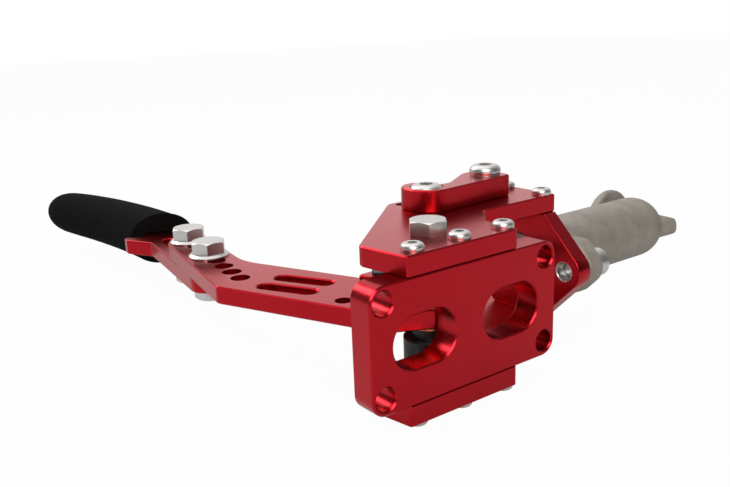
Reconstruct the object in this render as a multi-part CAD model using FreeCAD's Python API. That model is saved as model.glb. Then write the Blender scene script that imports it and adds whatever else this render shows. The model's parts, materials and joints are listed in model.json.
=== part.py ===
import FreeCAD, Part
import math
import os

# Hydraulic handbrake, lying on one side plate as it would on a bench.
# Frame: origin at the middle of the base plate's mounting face, which faces -Y.
# +X runs along the base towards the master cylinder, +Y runs away from the
# mounting face, and +Z is square to the side plates. All sizes are millimetres.

os.makedirs("parts", exist_ok=True)

Vector = FreeCAD.Vector
ALONG_X = Vector(1, 0, 0)
ALONG_Y = Vector(0, 1, 0)
ALONG_Z = Vector(0, 0, 1)

# Base plate
base_length = 116.0
base_width = 60.0
base_thickness = 14.0
base_corner = 8.0
mount_hole = 11.0
mount_end_margin = 7.5
mount_side_margin = 8.0
slot_web = 17.0
slot_end_margin = 12.5
slot_side_margin = 17.3
edge_break = 0.7

# Side plates
side_thickness = 10.0
foot_left = -37.0
foot_right = 31.0
foot_lean = 4.0
foot_height = 29.5
neck_height = 22.5
neck_flare = 1.0
neck_rise = 15.0
arm_depth = 30.0
arm_back_left = 21.3
arm_back_setback = 16.4
arm_corner = 17.0
foot_screw_pitch = 28.0
spare_hole = 6.0
spare_hole_x = 26.0
spare_hole_setback = 6.0

# Lever pivot
pivot_x = -3.5
pivot_y = 25.0
pivot_bolt_size = 10.0
pivot_flats = 17.0
pivot_head = 6.4
sleeve_outer = 14.0
bush_outer = 18.0
bush_flange = 20.4
bush_flange_thickness = 1.2
spacer_outer = 21.0
spacer_neck = 17.6
spacer_neck_end = 11.0
running_fit = 0.03
end_float = 0.2

# Lever bar
lever_thickness = 10.0
hub_radius = 10.2
lever_lean = 22.5
lever_width = 44.0
lever_bend_y = 121.6
lever_near_start_y = 44.9
lever_near_start_x = -36.9
upper_lean = 8.3
upper_width = 26.4
adjust_holes = 8
adjust_pitch = 13.6
adjust_hole = 11.0
adjust_start_x = -51.8
adjust_start_y = 125.7
knee_y = 27.1
shoulder_y = 51.0
hub_angle = 26.0
inner_bend = 40.0
lightening_width = 10.0
lightening_length = 36.0
lightening_lean = 27.0
far_slot_x = -28.6
far_slot_y = 97.6
near_slot_x = -42.9
near_slot_y = 91.4
spare_lever_hole = 9.0
spare_lever_x = -32.2
spare_lever_y = 55.9

# Grip bar and foam
grip_thickness = 10.0
grip_bolt_hole_low = 4
grip_bolt_hole_high = 7
guard_distance = 91.0
guard_rise = 18.0
guard_width = 8.0
guard_reach = 13.0
handle_width = 20.0
handle_offset = 1.7
handle_setback = 22.0
handle_low_lean = 2.5
handle_low_length = 60.0
handle_high_lean = 11.0
handle_high_length = 88.0
handle_bend = 60.0
foam_radius_mouth = 20.0
foam_radius_end = 17.2
foam_length = 181.0
foam_lean = 8.7
foam_bow = 7.2
foam_start = 7.0
mouth_slant = 28.0
mouth_tilt = 14.0
mouth_setback = 13.0
foam_clearance = 0.3

# Grip bolts and nuts
grip_bolt_size = 10.0
grip_bolt_flats = 18.6
grip_bolt_flange = 24.0
grip_bolt_flange_thickness = 2.2
grip_bolt_head = 7.2
grip_nut_height = 6.0

# Push rod line and clevis
rod_height = 57.0
pin_x = -6.0
pin_size = 8.0
pin_head = 12.0
pin_head_thickness = 1.8
clevis_width = 14.0
clevis_ear = 8.0
clevis_ear_gap = 0.3
clevis_left = -17.6
clevis_slant = 4.8
clevis_throat = 10.5
clevis_right = 24.0
rod_size = 8.0
rod_nut_flats = 13.0
rod_nut_height = 5.0
lever_travel = 22.0
pin_play = 0.3

# Flange plate and master cylinder
flange_plate_thickness = 10.0
flange_face_x = 102.4
flange_bolt_pitch = 68.0
flange_lobe = 10.0
arm_screw_margin = 5.66
arm_screw_pitch = 27.2
cylinder_flange = 11.0
cylinder_radius = 18.8
cylinder_length = 98.8
spigot_radius = 16.0
spigot_clearance = 0.2
bore_size = 19.05
bore_end_gap = 6.0
piston_length = 34.0
piston_clearance = 0.025
outlet_turn = 39.0
outlet_reach = 27.6
outlet_root = 7.2
outlet_tip = 5.4
outlet_port = 7.0
inlet_x = 103.6
inlet_radius = 18.4
inlet_reach = 25.5
inlet_face = 24.0
inlet_port = 14.0
feed_hole = 3.0
cylinder_bolt_size = 8.0
cylinder_bolt_flats = 13.0

# Outer strap
strap_thickness = 12.0
strap_screw_size = 10.0
strap_front_x = 28.4
strap_front_rise = 5.5
strap_rear_x = 74.3
strap_rear_rise = 8.3
strap_end_x = 83.0
strap_reach = 14.0
strap_back_reach = 11.2
strap_head = 17.0
strap_head_height = 5.4
strap_recess = 3.9

# Small fasteners
thread_gap = 0.05
button_size = 6.0
button_head = 10.5
button_head_height = 3.3
button_length = 22.0

# Derived planes and places
half_base = base_width / 2
mount_spacing_x = base_length - 2 * mount_end_margin
mount_spacing_z = base_width - 2 * mount_side_margin
slot_length = base_length / 2 - slot_web / 2 - slot_end_margin
slot_width = base_width - 2 * slot_side_margin
slot_spacing = slot_web + slot_length
arm_back = rod_height + arm_depth
arm_back_right = flange_face_x - arm_back_setback
spare_hole_y = arm_back - spare_hole_setback
strap_front_y = rod_height + strap_front_rise
strap_rear_y = rod_height + strap_rear_rise
plate_top = half_base + side_thickness
half_lever = lever_thickness / 2
strap_top = plate_top + strap_thickness
grip_bottom = -half_lever - grip_thickness
flange_inner_x = flange_face_x - flange_plate_thickness
cylinder_face_x = flange_face_x + cylinder_flange
bore_end_x = flange_face_x + cylinder_length + cylinder_radius - bore_end_gap
pivot = Vector(pivot_x, pivot_y, 0)
arm_front = rod_height - (half_base - flange_lobe * (math.sqrt(2) - 1)) + flange_lobe * 0.75
arm_screw_y = arm_front + arm_screw_margin


def turned(length, degrees):
    """A vector of that length, leaning from +Y towards +X by the angle."""
    angle = math.radians(degrees)
    return Vector(length * math.sin(angle), length * math.cos(angle), 0)


def cylinder(radius, length, base, direction=ALONG_Z):
    return Part.makeCylinder(radius, length, base, direction)


def rounded_wire(corners):
    """A closed wire in the XY plane through corners (x, y, radius), each rounded."""
    points = [Vector(x, y, 0) for x, y, _ in corners]
    count = len(points)
    starts = []
    ends = []
    arcs = []
    for index, (_, _, radius) in enumerate(corners):
        here = points[index]
        before = (points[index - 1] - here).normalize()
        after = (points[(index + 1) % count] - here).normalize()
        if radius <= 0:
            starts.append(here)
            ends.append(here)
            arcs.append(None)
            continue
        half = before.getAngle(after) / 2
        reach = radius / math.tan(half)
        centre = here + (before + after).normalize() * (radius / math.sin(half))
        middle = centre + (here - centre).normalize() * radius
        starts.append(here + before * reach)
        ends.append(here + after * reach)
        arcs.append(Part.Arc(starts[-1], middle, ends[-1]).toShape())
    edges = []
    for index in range(count):
        if arcs[index] is not None:
            edges.append(arcs[index])
        start = ends[index]
        end = starts[(index + 1) % count]
        if start.distanceToPoint(end) > 1e-6:
            edges.append(Part.LineSegment(start, end).toShape())
    return Part.Wire(Part.__sortEdges__(edges))


def plate(corners, bottom, thickness):
    """A flat plate with a rounded outline in XY, from z = bottom upwards."""
    solid = Part.Face(rounded_wire(corners)).extrude(Vector(0, 0, thickness))
    solid.translate(Vector(0, 0, bottom))
    return solid


def slot(centre, length, width, degrees, bottom, depth):
    """A round-ended slot cutter that leans from +Y towards +X by the angle."""
    half = turned((length - width) / 2, degrees)
    side = turned(width / 2, degrees + 90)
    low = centre - half
    high = centre + half
    outline = Part.Wire([
        Part.LineSegment(low + side, high + side).toShape(),
        Part.Arc(high + side, high + turned(width / 2, degrees), high - side).toShape(),
        Part.LineSegment(high - side, low - side).toShape(),
        Part.Arc(low - side, low - turned(width / 2, degrees), low + side).toShape(),
    ])
    solid = Part.Face(outline).extrude(Vector(0, 0, depth))
    solid.translate(Vector(0, 0, bottom))
    return solid


def break_edges(solid, size, levels, coordinate="z"):
    """Chamfer every edge that lies wholly in one of the given planes."""
    chosen = []
    for edge in solid.Edges:
        values = [getattr(vertex.Point, coordinate) for vertex in edge.Vertexes]
        if any(max(abs(value - level) for value in values) < 1e-4 for level in levels):
            chosen.append(edge)
    return solid.makeChamfer(size, chosen)


def turned_profile(points, axis_base=Vector(0, 0, 0), axis=ALONG_Z):
    """Revolve (radius, height) points about an axis through axis_base."""
    wire = Part.makePolygon([Vector(r, 0, h) for r, h in points + points[:1]])
    solid = Part.Face(wire).revolve(Vector(0, 0, 0), ALONG_Z, 360)
    solid.Placement = FreeCAD.Placement(axis_base, FreeCAD.Rotation(ALONG_Z, axis))
    return solid


def hexagon(flats, height, base, direction=ALONG_Z, turn=0.0):
    """A hexagonal prism with its flats that far apart."""
    radius = flats / math.sqrt(3)
    points = []
    for index in range(7):
        angle = math.radians(60 * index + turn)
        points.append(Vector(radius * math.cos(angle), radius * math.sin(angle), 0))
    prism = Part.Face(Part.makePolygon(points)).extrude(Vector(0, 0, height))
    prism.Placement = FreeCAD.Placement(base, FreeCAD.Rotation(ALONG_Z, direction))
    return prism


def chamfered_hexagon(flats, height, base, direction=ALONG_Z, turn=0.0, both=False):
    """A hexagon whose corners are turned down at its far end, or at both ends."""
    corner = flats / math.sqrt(3)
    drop = (corner - flats / 2) * 0.58
    start = [(0, 0), (flats / 2, 0), (corner, drop)] if both else [(0, 0), (corner + 1, 0)]
    end = [(corner if both else corner + 1, height - drop), (flats / 2, height), (0, height)]
    if not both:
        end[0] = (corner, height - drop)
        start[1] = (corner, 0)
    cone = turned_profile(start + end, base, direction)
    return hexagon(flats, height, base, direction, turn).common(cone)


def button_screw(size, head, head_height, length, base, direction=ALONG_Z):
    """A button head socket screw; base is under the head, which stands along direction."""
    crown = head * 0.27
    profile = [Vector(0, 0, 0), Vector(head / 2, 0, 0), Vector(head / 2, 0, head_height * 0.12)]
    shoulder = profile[-1]
    top = Vector(crown, 0, head_height)
    bulge = (shoulder + top) * 0.5 + Vector(head_height * 0.22, 0, head_height * 0.26)
    edges = [
        Part.LineSegment(profile[0], profile[1]).toShape(),
        Part.LineSegment(profile[1], shoulder).toShape(),
        Part.Arc(shoulder, bulge, top).toShape(),
        Part.LineSegment(top, Vector(0, 0, head_height)).toShape(),
        Part.LineSegment(Vector(0, 0, head_height), profile[0]).toShape(),
    ]
    screw = Part.Face(Part.Wire(edges)).revolve(Vector(0, 0, 0), ALONG_Z, 360)
    shank = cylinder(size / 2 - thread_gap, length, Vector(0, 0, -length))
    socket_depth = head_height * 0.6
    socket = hexagon(size * 2 / 3, socket_depth + 1, Vector(0, 0, head_height - socket_depth))
    screw = screw.fuse(shank).removeSplitter().cut(socket)
    screw.Placement = FreeCAD.Placement(base, FreeCAD.Rotation(ALONG_Z, direction))
    return screw


def thread_hole(size, length, base, direction=ALONG_Z):
    return cylinder(size / 2, length, base, direction)


def adjust_point(index):
    """Centre of an adjusting hole in the lever's upper part."""
    return Vector(adjust_start_x, adjust_start_y, 0) + turned(adjust_pitch * index, upper_lean)


def foot_screw_points():
    return [(offset * foot_screw_pitch, base_thickness / 2) for offset in (-1, 0, 1)]


def arm_screw_points():
    x = flange_inner_x + flange_plate_thickness / 2
    return [(x, arm_screw_y + step * arm_screw_pitch) for step in (0, 1)]


def base_plate():
    half = base_length / 2
    corners = [(-half, -half_base, base_corner), (half, -half_base, base_corner),
               (half, half_base, base_corner), (-half, half_base, base_corner)]
    flat = plate(corners, -base_thickness, base_thickness)
    for side in (-1, 1):
        centre = Vector(side * slot_spacing / 2, 0, 0)
        flat = flat.cut(slot(centre, slot_length, slot_width, 90,
                             -base_thickness - 1, base_thickness + 2))
        for end in (-1, 1):
            place = Vector(side * mount_spacing_x / 2, end * mount_spacing_z / 2, -base_thickness - 1)
            flat = flat.cut(cylinder(mount_hole / 2, base_thickness + 2, place))
    flat = break_edges(flat, edge_break, [0, -base_thickness])
    flat.rotate(Vector(0, 0, 0), ALONG_X, 90)
    for x, y in foot_screw_points():
        depth = button_length - side_thickness + 2
        flat = flat.cut(thread_hole(button_size, depth, Vector(x, y, half_base - depth)))
        flat = flat.cut(thread_hole(button_size, depth, Vector(x, y, -half_base)))
    return flat


def side_plate_corners():
    """Outline of a side plate: its foot on the base, its neck and its arm."""
    neck = foot_right + neck_flare
    return [(foot_left, 0, 1.5), (foot_right, 0, 1.5), (neck, neck_height, 4),
            (neck + neck_rise, arm_front, 4), (flange_face_x, arm_front, edge_break + 0.1),
            (flange_face_x, arm_back - arm_corner, 4), (arm_back_right, arm_back, 6),
            (arm_back_left, arm_back, 5), (foot_left - foot_lean, foot_height, 5)]


def side_plate(upper):
    bottom = half_base if upper else -plate_top
    body = plate(side_plate_corners(), bottom, side_thickness)
    body = break_edges(body, edge_break, [bottom, bottom + side_thickness])
    tool = Vector(0, 0, bottom - 1)
    deep = side_thickness + 2
    hole = pivot_bolt_size / 2 + (0.1 if upper else 0)
    body = body.cut(cylinder(hole, deep, pivot + tool))
    for x, y in foot_screw_points() + arm_screw_points():
        body = body.cut(cylinder(button_size / 2 + 0.2, deep, Vector(x, y, 0) + tool))
    body = body.cut(cylinder(spare_hole / 2, deep, Vector(spare_hole_x, spare_hole_y, 0) + tool))
    if upper:
        for x, y in ((strap_front_x, strap_front_y), (strap_rear_x, strap_rear_y)):
            body = body.cut(thread_hole(strap_screw_size, deep, Vector(x, y, 0) + tool))
    return body


def outer_strap():
    """Thick strap with a round front end, a waist and a square rear end."""
    nose = strap_front_x + 3
    left = nose - strap_reach
    near = strap_front_y - strap_reach
    waist = strap_front_y - 4
    side = strap_front_y + strap_reach
    far = strap_rear_y + strap_back_reach
    corners = [(left, near, strap_reach - 1), (strap_end_x, near + 5.5, 2.5), (strap_end_x, far, 8),
               (strap_rear_x - 7.3, far, 12), (nose + 7, waist, 7), (nose, side, 5), (left, side, 10)]
    body = plate(corners, plate_top, strap_thickness)
    body = break_edges(body, edge_break, [plate_top, strap_top])
    for x, y in ((strap_front_x, strap_front_y), (strap_rear_x, strap_rear_y)):
        body = body.cut(cylinder(strap_screw_size / 2 + 0.3, strap_thickness + 2,
                                 Vector(x, y, plate_top - 1)))
    recess = Vector(strap_front_x, strap_front_y, strap_top - strap_recess)
    return body.cut(cylinder(strap_head / 2 + 0.3, strap_recess + 1, recess))


def lever_row_corner(index, along, across):
    """A point beside the row of adjusting holes: along it, and across towards +X."""
    return adjust_point(index) + turned(along, upper_lean) + turned(across, upper_lean + 90)


def lever_bar():
    """Flat lever: a hub, a wide leaning part and a narrower upper part with a row of holes."""
    slope = math.tan(math.radians(lever_lean))
    bend_x = lever_near_start_x - slope * (lever_bend_y - lever_near_start_y)
    across = lever_width / math.cos(math.radians(lever_lean))
    knee_x = lever_near_start_x + slope * (lever_near_start_y - knee_y)
    shoulder_x = lever_near_start_x + across - slope * (shoulder_y - lever_near_start_y)
    half = upper_width / 2
    last = adjust_holes - 1
    far_end = lever_row_corner(last, half, half)
    near_end = lever_row_corner(last, half, -half)
    far_line = lever_row_corner(0, 0, half)
    rise = math.tan(math.radians(upper_lean))
    bend_y = ((shoulder_x + slope * shoulder_y) - (far_line.x - rise * far_line.y)) / (rise + slope)
    inner_x = shoulder_x - slope * (bend_y - shoulder_y)
    hub_touch = pivot - turned(hub_radius, hub_angle)
    corners = [(pivot_x + hub_radius, pivot_y, 0), (shoulder_x, shoulder_y, 12),
               (inner_x, bend_y, inner_bend), (far_end.x, far_end.y, half - 0.4),
               (near_end.x, near_end.y, half - 0.4), (bend_x, lever_bend_y, 5),
               (knee_x, knee_y, 8), (hub_touch.x, hub_touch.y, 0)]
    body = plate(corners, -half_lever, lever_thickness)
    hub = cylinder(hub_radius, lever_thickness, pivot - ALONG_Z * half_lever)
    body = body.fuse(hub).removeSplitter()
    cut_base = -half_lever - 1
    deep = lever_thickness + 2
    for x, y in ((far_slot_x, far_slot_y), (near_slot_x, near_slot_y)):
        body = body.cut(slot(Vector(x, y, 0), lightening_length, lightening_width,
                             -lightening_lean, cut_base, deep))
    body = break_edges(body, edge_break, [-half_lever, half_lever])
    for index in range(adjust_holes):
        centre = adjust_point(index) + ALONG_Z * cut_base
        body = body.cut(cylinder(adjust_hole / 2, deep, centre))
    body = body.cut(cylinder(bush_outer / 2, deep, pivot + ALONG_Z * cut_base))
    spare = Vector(spare_lever_x, spare_lever_y, cut_base)
    body = body.cut(cylinder(spare_lever_hole / 2, deep, spare))
    return body.cut(pin_slot(cut_base, deep))


def pin_slot(bottom, depth):
    """The lever's hole for the clevis pin, long enough for the pin's straight path."""
    offset = Vector(pin_x, rod_height, 0) - pivot
    start = offset.Length
    stroke_angle = math.radians(lever_travel) + math.atan2(offset.x, offset.y)
    furthest = offset.y / math.cos(stroke_angle)
    shortest = min(start, offset.y)
    width = pin_size + 2 * pin_play
    length = furthest - shortest + width + 0.2
    lean = math.degrees(math.atan2(offset.x, offset.y))
    centre = pivot + turned((furthest + shortest) / 2, lean)
    return slot(centre, length, width, lean, bottom, depth)


def grip_corner(along, across):
    return lever_row_corner(grip_bolt_hole_low, along, across)


def handle_path():
    """The handle's centre line: its start, its bend and its end."""
    start = grip_corner(guard_distance + handle_setback, handle_offset)
    bend = start + turned(handle_low_length, -handle_low_lean)
    return start, bend, bend + turned(handle_high_length, -handle_high_lean)


def handle_side(side, grow=0.0):
    """The handle's edge on one side, from its start to its rounded end."""
    start, bend, end = handle_path()
    half = side * (handle_width / 2 + grow)
    middle_lean = (handle_low_lean + handle_high_lean) / 2
    stretch = math.cos(math.radians((handle_high_lean - handle_low_lean) / 2))
    return [start + turned(half, 90 - handle_low_lean),
            bend + turned(half / stretch, 90 - middle_lean),
            end + turned(grow, -handle_high_lean) + turned(half, 90 - handle_high_lean)]


def handle_marks(grow=0.0):
    """Corners of the handle's outline with their rounding radii, near side first."""
    near = handle_side(-1, grow)
    far = handle_side(1, grow)
    tip = handle_width / 2 + grow - 0.4
    return [(near[0], 0), (near[1], handle_bend), (near[2], tip),
            (far[2], tip), (far[1], handle_bend), (far[0], 0)]


def grip_bar():
    """Bar under the lever: two bolt holes, the finger guard and the handle inside the foam."""
    half = upper_width / 2
    handle = handle_marks()
    handle[0] = (handle[0][0], 3)
    handle[-1] = (handle[-1][0], 14)
    marks = [
        (grip_corner(-half, -half), half - 0.4),
        (grip_corner(guard_distance, -half), 6),
        (grip_corner(guard_distance + guard_rise, -half - guard_reach), 1.5),
        (grip_corner(guard_distance + guard_rise + guard_width, -half - guard_reach), 1.5),
    ] + handle + [
        (grip_corner(guard_distance, half), 14),
        (grip_corner(-half, half), half - 0.4),
    ]
    corners = [(point.x, point.y, radius) for point, radius in marks]
    body = plate(corners, grip_bottom, grip_thickness)
    body = break_edges(body, edge_break, [grip_bottom, -half_lever])
    for index in (grip_bolt_hole_low, grip_bolt_hole_high):
        centre = adjust_point(index) + ALONG_Z * (grip_bottom - 1)
        body = body.cut(cylinder(adjust_hole / 2, grip_thickness + 2, centre))
    return body


def foam_grip():
    """A closed foam sleeve, lofted through rings along a bowed centre line."""
    mouth = handle_path()[0] + turned(-foam_start, 0) + ALONG_Z * (grip_bottom + grip_thickness / 2)
    tip = mouth + turned(foam_length, -foam_lean)
    middle = (mouth + tip) * 0.5 + turned(foam_bow, 90 - foam_lean)
    line = Part.Arc(mouth, middle, tip)
    radii = [(0.0, foam_radius_mouth + 0.5), (0.04, foam_radius_mouth - 0.2), (0.3, foam_radius_mouth - 0.8),
             (0.6, foam_radius_mouth - 1.6), (0.84, foam_radius_end), (0.91, foam_radius_end * 0.9),
             (0.96, foam_radius_end * 0.7), (0.99, foam_radius_end * 0.4), (1.0, foam_radius_end * 0.1)]
    rings = []
    for share, radius in radii:
        place = line.FirstParameter + share * (line.LastParameter - line.FirstParameter)
        ring = Part.Circle(line.value(place), line.tangent(place)[0], radius)
        rings.append(Part.Wire(ring.toShape()))
    body = Part.makeLoft(rings, True, False)
    marks = handle_marks(foam_clearance)
    back = turned(-foam_start - 4, -handle_low_lean)
    reach = 4 * foam_radius_mouth
    waste = Part.makeBox(2 * reach, reach, 2 * reach, Vector(-reach, -reach, -reach))
    waste.rotate(Vector(0, 0, 0), ALONG_X, mouth_tilt)
    waste.rotate(Vector(0, 0, 0), ALONG_Z, -mouth_slant)
    waste.translate(mouth + turned(mouth_setback, -handle_low_lean))
    body = body.cut(waste)
    marks[0] = (marks[0][0] + back, 0)
    marks[-1] = (marks[-1][0] + back, 0)
    pocket = plate([(point.x, point.y, radius) for point, radius in marks],
                   grip_bottom - foam_clearance, grip_thickness + 2 * foam_clearance)
    return body.cut(pocket)


def grip_bolt(index):
    centre = adjust_point(index)
    seat = centre + ALONG_Z * half_lever
    rim = turned_profile([(0, 0), (grip_bolt_flange / 2, 0), (grip_bolt_flange / 2, 0.9),
                          (grip_bolt_flats * 0.56, grip_bolt_flange_thickness),
                          (0, grip_bolt_flange_thickness)], seat)
    head = chamfered_hexagon(grip_bolt_flats, grip_bolt_head,
                             seat + ALONG_Z * grip_bolt_flange_thickness, turn=1)
    length = half_lever - grip_bottom + grip_nut_height
    shank = cylinder(grip_bolt_size / 2 - thread_gap, length, seat - ALONG_Z * length)
    return rim.fuse(head).fuse(shank).removeSplitter()


def grip_nut(index):
    base = adjust_point(index) + ALONG_Z * (grip_bottom - grip_nut_height)
    nut = chamfered_hexagon(grip_bolt_flats, grip_nut_height, base, turn=40, both=True)
    return nut.cut(cylinder(grip_bolt_size / 2, grip_nut_height + 2, base - ALONG_Z))


def pivot_bolt():
    head = chamfered_hexagon(pivot_flats, pivot_head, pivot + ALONG_Z * plate_top, turn=53)
    shank = cylinder(pivot_bolt_size / 2 - thread_gap, 2 * plate_top, pivot - ALONG_Z * plate_top)
    return head.fuse(shank).removeSplitter()


def pivot_sleeve():
    outer = cylinder(sleeve_outer / 2, base_width, pivot - ALONG_Z * half_base)
    return outer.cut(cylinder(pivot_bolt_size / 2, base_width + 2, pivot - ALONG_Z * (half_base + 1)))


def lever_bush(upper):
    """One of the two flanged bushes pressed into the lever."""
    inner = sleeve_outer / 2 + running_fit
    outer = bush_outer / 2
    top = half_lever + bush_flange_thickness
    profile = [(inner, 0.1), (outer, 0.1), (outer, half_lever), (bush_flange / 2, half_lever),
               (bush_flange / 2, top - 0.3), (bush_flange / 2 - 0.3, top), (inner, top)]
    return turned_profile(profile, pivot, ALONG_Z if upper else -ALONG_Z)


def pivot_spacer(upper):
    """A turned spacer that keeps the lever midway between the side plates."""
    inner = sleeve_outer / 2 + 0.05
    start = half_lever + bush_flange_thickness + end_float
    outer = spacer_outer / 2
    profile = [(inner, start), (spacer_neck / 2, start), (spacer_neck / 2, spacer_neck_end),
               (outer - 0.8, spacer_neck_end), (outer, spacer_neck_end + 0.8),
               (outer, half_base - 0.5), (outer - 0.5, half_base), (inner, half_base)]
    return turned_profile(profile, pivot, ALONG_Z if upper else -ALONG_Z)


def clevis():
    inner = half_lever + clevis_ear_gap
    outer = inner + clevis_ear
    low = rod_height - clevis_width / 2
    high = rod_height + clevis_width / 2
    corners = [(clevis_left + clevis_slant, low, 1.5), (clevis_right, low, 1.5),
               (clevis_right, high, 1.5), (clevis_left, high, 1.5)]
    body = plate(corners, -outer, 2 * outer)
    body = break_edges(body, edge_break, [-outer, outer])
    gap = Part.makeBox(clevis_throat - clevis_left + 1, clevis_width + 2, 2 * inner,
                       Vector(clevis_left - 1, low - 1, -inner))
    body = body.cut(gap)
    body = body.cut(cylinder(pin_size / 2 + 0.05, 2 * outer + 2, Vector(pin_x, rod_height, -outer - 1)))
    return body.cut(thread_hole(rod_size, clevis_right, Vector(clevis_throat - 1, rod_height, 0), ALONG_X))


def clevis_outer():
    return half_lever + clevis_ear_gap + clevis_ear


def clevis_pin():
    outer = clevis_outer()
    groove = outer + 0.3
    end = groove + 1.1 + 1.2
    radius = pin_size / 2
    profile = [(0, outer + pin_head_thickness), (pin_head / 2 - 0.4, outer + pin_head_thickness),
               (pin_head / 2, outer + pin_head_thickness - 0.4), (pin_head / 2, outer), (radius, outer),
               (radius, -groove), (radius - 1, -groove), (radius - 1, -groove - 1.1),
               (radius, -groove - 1.1), (radius, 0.4 - end), (radius - 0.4, -end), (0, -end)]
    return turned_profile(profile, Vector(pin_x, rod_height, 0))


def pin_clip():
    """The open clip in the pin's groove."""
    radius = pin_size / 2
    base = Vector(pin_x, rod_height, -clevis_outer() - 0.3 - 1.0)
    ring = cylinder(radius + 2.2, 0.9, base).cut(cylinder(radius - 0.95, 2, base - ALONG_Z * 0.5))
    mouth = Part.makeBox(12, pin_size * 0.7, 2, base + Vector(0, -pin_size * 0.35, -0.5))
    return ring.cut(mouth)


def rod_nut():
    base = Vector(clevis_right, rod_height, 0)
    nut = chamfered_hexagon(rod_nut_flats, rod_nut_height, base, ALONG_X, both=True)
    return nut.cut(cylinder(rod_size / 2, rod_nut_height + 2, base - ALONG_X, ALONG_X))


def piston_start():
    """Where the piston's outer end rests, behind the retaining washer."""
    return flange_inner_x + 9.2


def push_rod():
    """Threaded rod with a collar behind the retaining washer and a round nose."""
    radius = rod_size / 2 - thread_gap
    first = clevis_throat + 1.5
    collar = flange_inner_x + 5.2
    nose = piston_start() + 6
    rod = cylinder(radius, collar - first, Vector(first, rod_height, 0), ALONG_X)
    rod = rod.fuse(cylinder(7.0, 3.0, Vector(collar, rod_height, 0), ALONG_X))
    rod = rod.fuse(cylinder(radius, nose - collar, Vector(collar, rod_height, 0), ALONG_X))
    rod = rod.fuse(Part.makeSphere(radius, Vector(nose, rod_height, 0)))
    return rod.removeSplitter()


def piston():
    radius = bore_size / 2 - piston_clearance
    start = piston_start()
    seat = rod_size / 2 + 0.05
    end = start + piston_length
    profile = [(seat, 0), (radius - 0.5, 0), (radius, 0.5), (radius, 6), (radius - 2.4, 6),
               (radius - 2.4, 9), (radius, 9), (radius, 11), (radius - 3.5, 12.5),
               (radius - 3.5, piston_length - 9), (radius, piston_length - 8),
               (radius, piston_length - 6.5), (radius - 3, piston_length - 6.5),
               (radius - 3, piston_length - 2.5), (radius, piston_length - 2.5),
               (radius, piston_length - 1), (4.4, piston_length - 1), (4.4, piston_length),
               (0, piston_length), (0, 6 + seat), (seat, 6 + seat)]
    solid = turned_profile(profile, Vector(start, rod_height, 0), ALONG_X)
    return solid


def piston_seal(first):
    """A lipped rubber ring in one of the piston's two grooves."""
    radius = bore_size / 2 - piston_clearance
    if first:
        profile = [(radius - 2.35, 6.1), (radius, 6.1), (radius - 0.6, 7.6), (radius, 8.9),
                   (radius - 2.35, 8.9)]
    else:
        end = piston_length
        profile = [(radius - 2.95, end - 6.4), (radius, end - 6.4), (radius - 0.7, end - 4.4),
                   (radius, end - 2.6), (radius - 2.95, end - 2.6)]
    return turned_profile(profile, Vector(piston_start(), rod_height, 0), ALONG_X)


def return_spring():
    """Compression spring between the piston and the end of the bore."""
    wire = 1.6
    coil = 6.0
    start = piston_start() + piston_length + wire / 2 + 0.05
    length = bore_end_x - start - wire / 2 - 0.05
    turns = 9.0
    helix = Part.makeHelix(length / turns, length, coil)
    section = Part.Wire(Part.makeCircle(wire / 2, Vector(coil, 0, 0), ALONG_Y))
    spring = Part.Wire(helix).makePipeShell([section], True, True)
    spring.Placement = FreeCAD.Placement(Vector(start, rod_height, 0), FreeCAD.Rotation(ALONG_Z, ALONG_X))
    return spring


def retaining_washer():
    base = Vector(flange_inner_x + 3.4, rod_height, 0)
    outer = bore_size / 2 - 0.1
    ring = cylinder(outer, 1.6, base, ALONG_X)
    return ring.cut(cylinder(rod_size / 2 + 0.6, 4, base - ALONG_X, ALONG_X))


def retaining_ring():
    """The spring ring that holds the washer in the bore."""
    base = Vector(flange_inner_x + 2.0, rod_height, 0)
    ring = cylinder(bore_size / 2 + 0.9, 1.2, base, ALONG_X)
    ring = ring.cut(cylinder(bore_size / 2 - 1.6, 3, base - ALONG_X, ALONG_X))
    mouth = Part.makeBox(3, 14, 5, base + Vector(-1, 0, -2.5))
    return ring.cut(mouth)


def dust_boot():
    """Bellows between the cylinder's spigot and the push rod."""
    large = spigot_radius - 3.0
    neck = rod_size / 2 + 0.1
    wall = 1.2
    folds = 4
    pitch = 5.0
    start = flange_inner_x - 0.1
    outer = [(large, 0), (large, -2)]
    for fold in range(folds):
        crest = large + 1.5 - fold * 1.6
        outer.append((crest, -2 - fold * pitch - pitch / 2))
        outer.append((crest - 3.4, -2 - (fold + 1) * pitch))
    end = -2 - folds * pitch
    outer.append((neck + wall, end - 1.5))
    outer.append((neck + wall, end - 5))
    inner = [(max(r - wall, neck), h) for r, h in reversed(outer)]
    inner[0] = (neck, end - 5)
    inner[1] = (neck, end - 1.5)
    return turned_profile(outer + inner, Vector(start, rod_height, 0), ALONG_X)


def flange_outline(lobe, half_height):
    """Outline with a rounded point at each cylinder bolt and flats against the side plates."""
    point = lobe * math.sqrt(2)
    half_pitch = flange_bolt_pitch / 2
    shoulder = half_pitch + point - half_height
    corners = []
    for side in (-1, 1):
        corners.append((side * shoulder, -side * half_height, 2))
        corners.append((side * (half_pitch + point), 0, lobe))
        corners.append((side * shoulder, side * half_height, 2))
    return sorted(corners, key=lambda corner: math.atan2(corner[1], corner[0]))


def on_cylinder_axis(solid, x):
    """Lay an XY outline's plate across the push rod line, its bottom at that x."""
    solid.rotate(Vector(0, 0, 0), Vector(1, 1, 1), 120)
    solid.translate(Vector(x, rod_height, 0))
    return solid


def cylinder_bolt_points():
    return [rod_height - flange_bolt_pitch / 2, rod_height + flange_bolt_pitch / 2]


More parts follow.
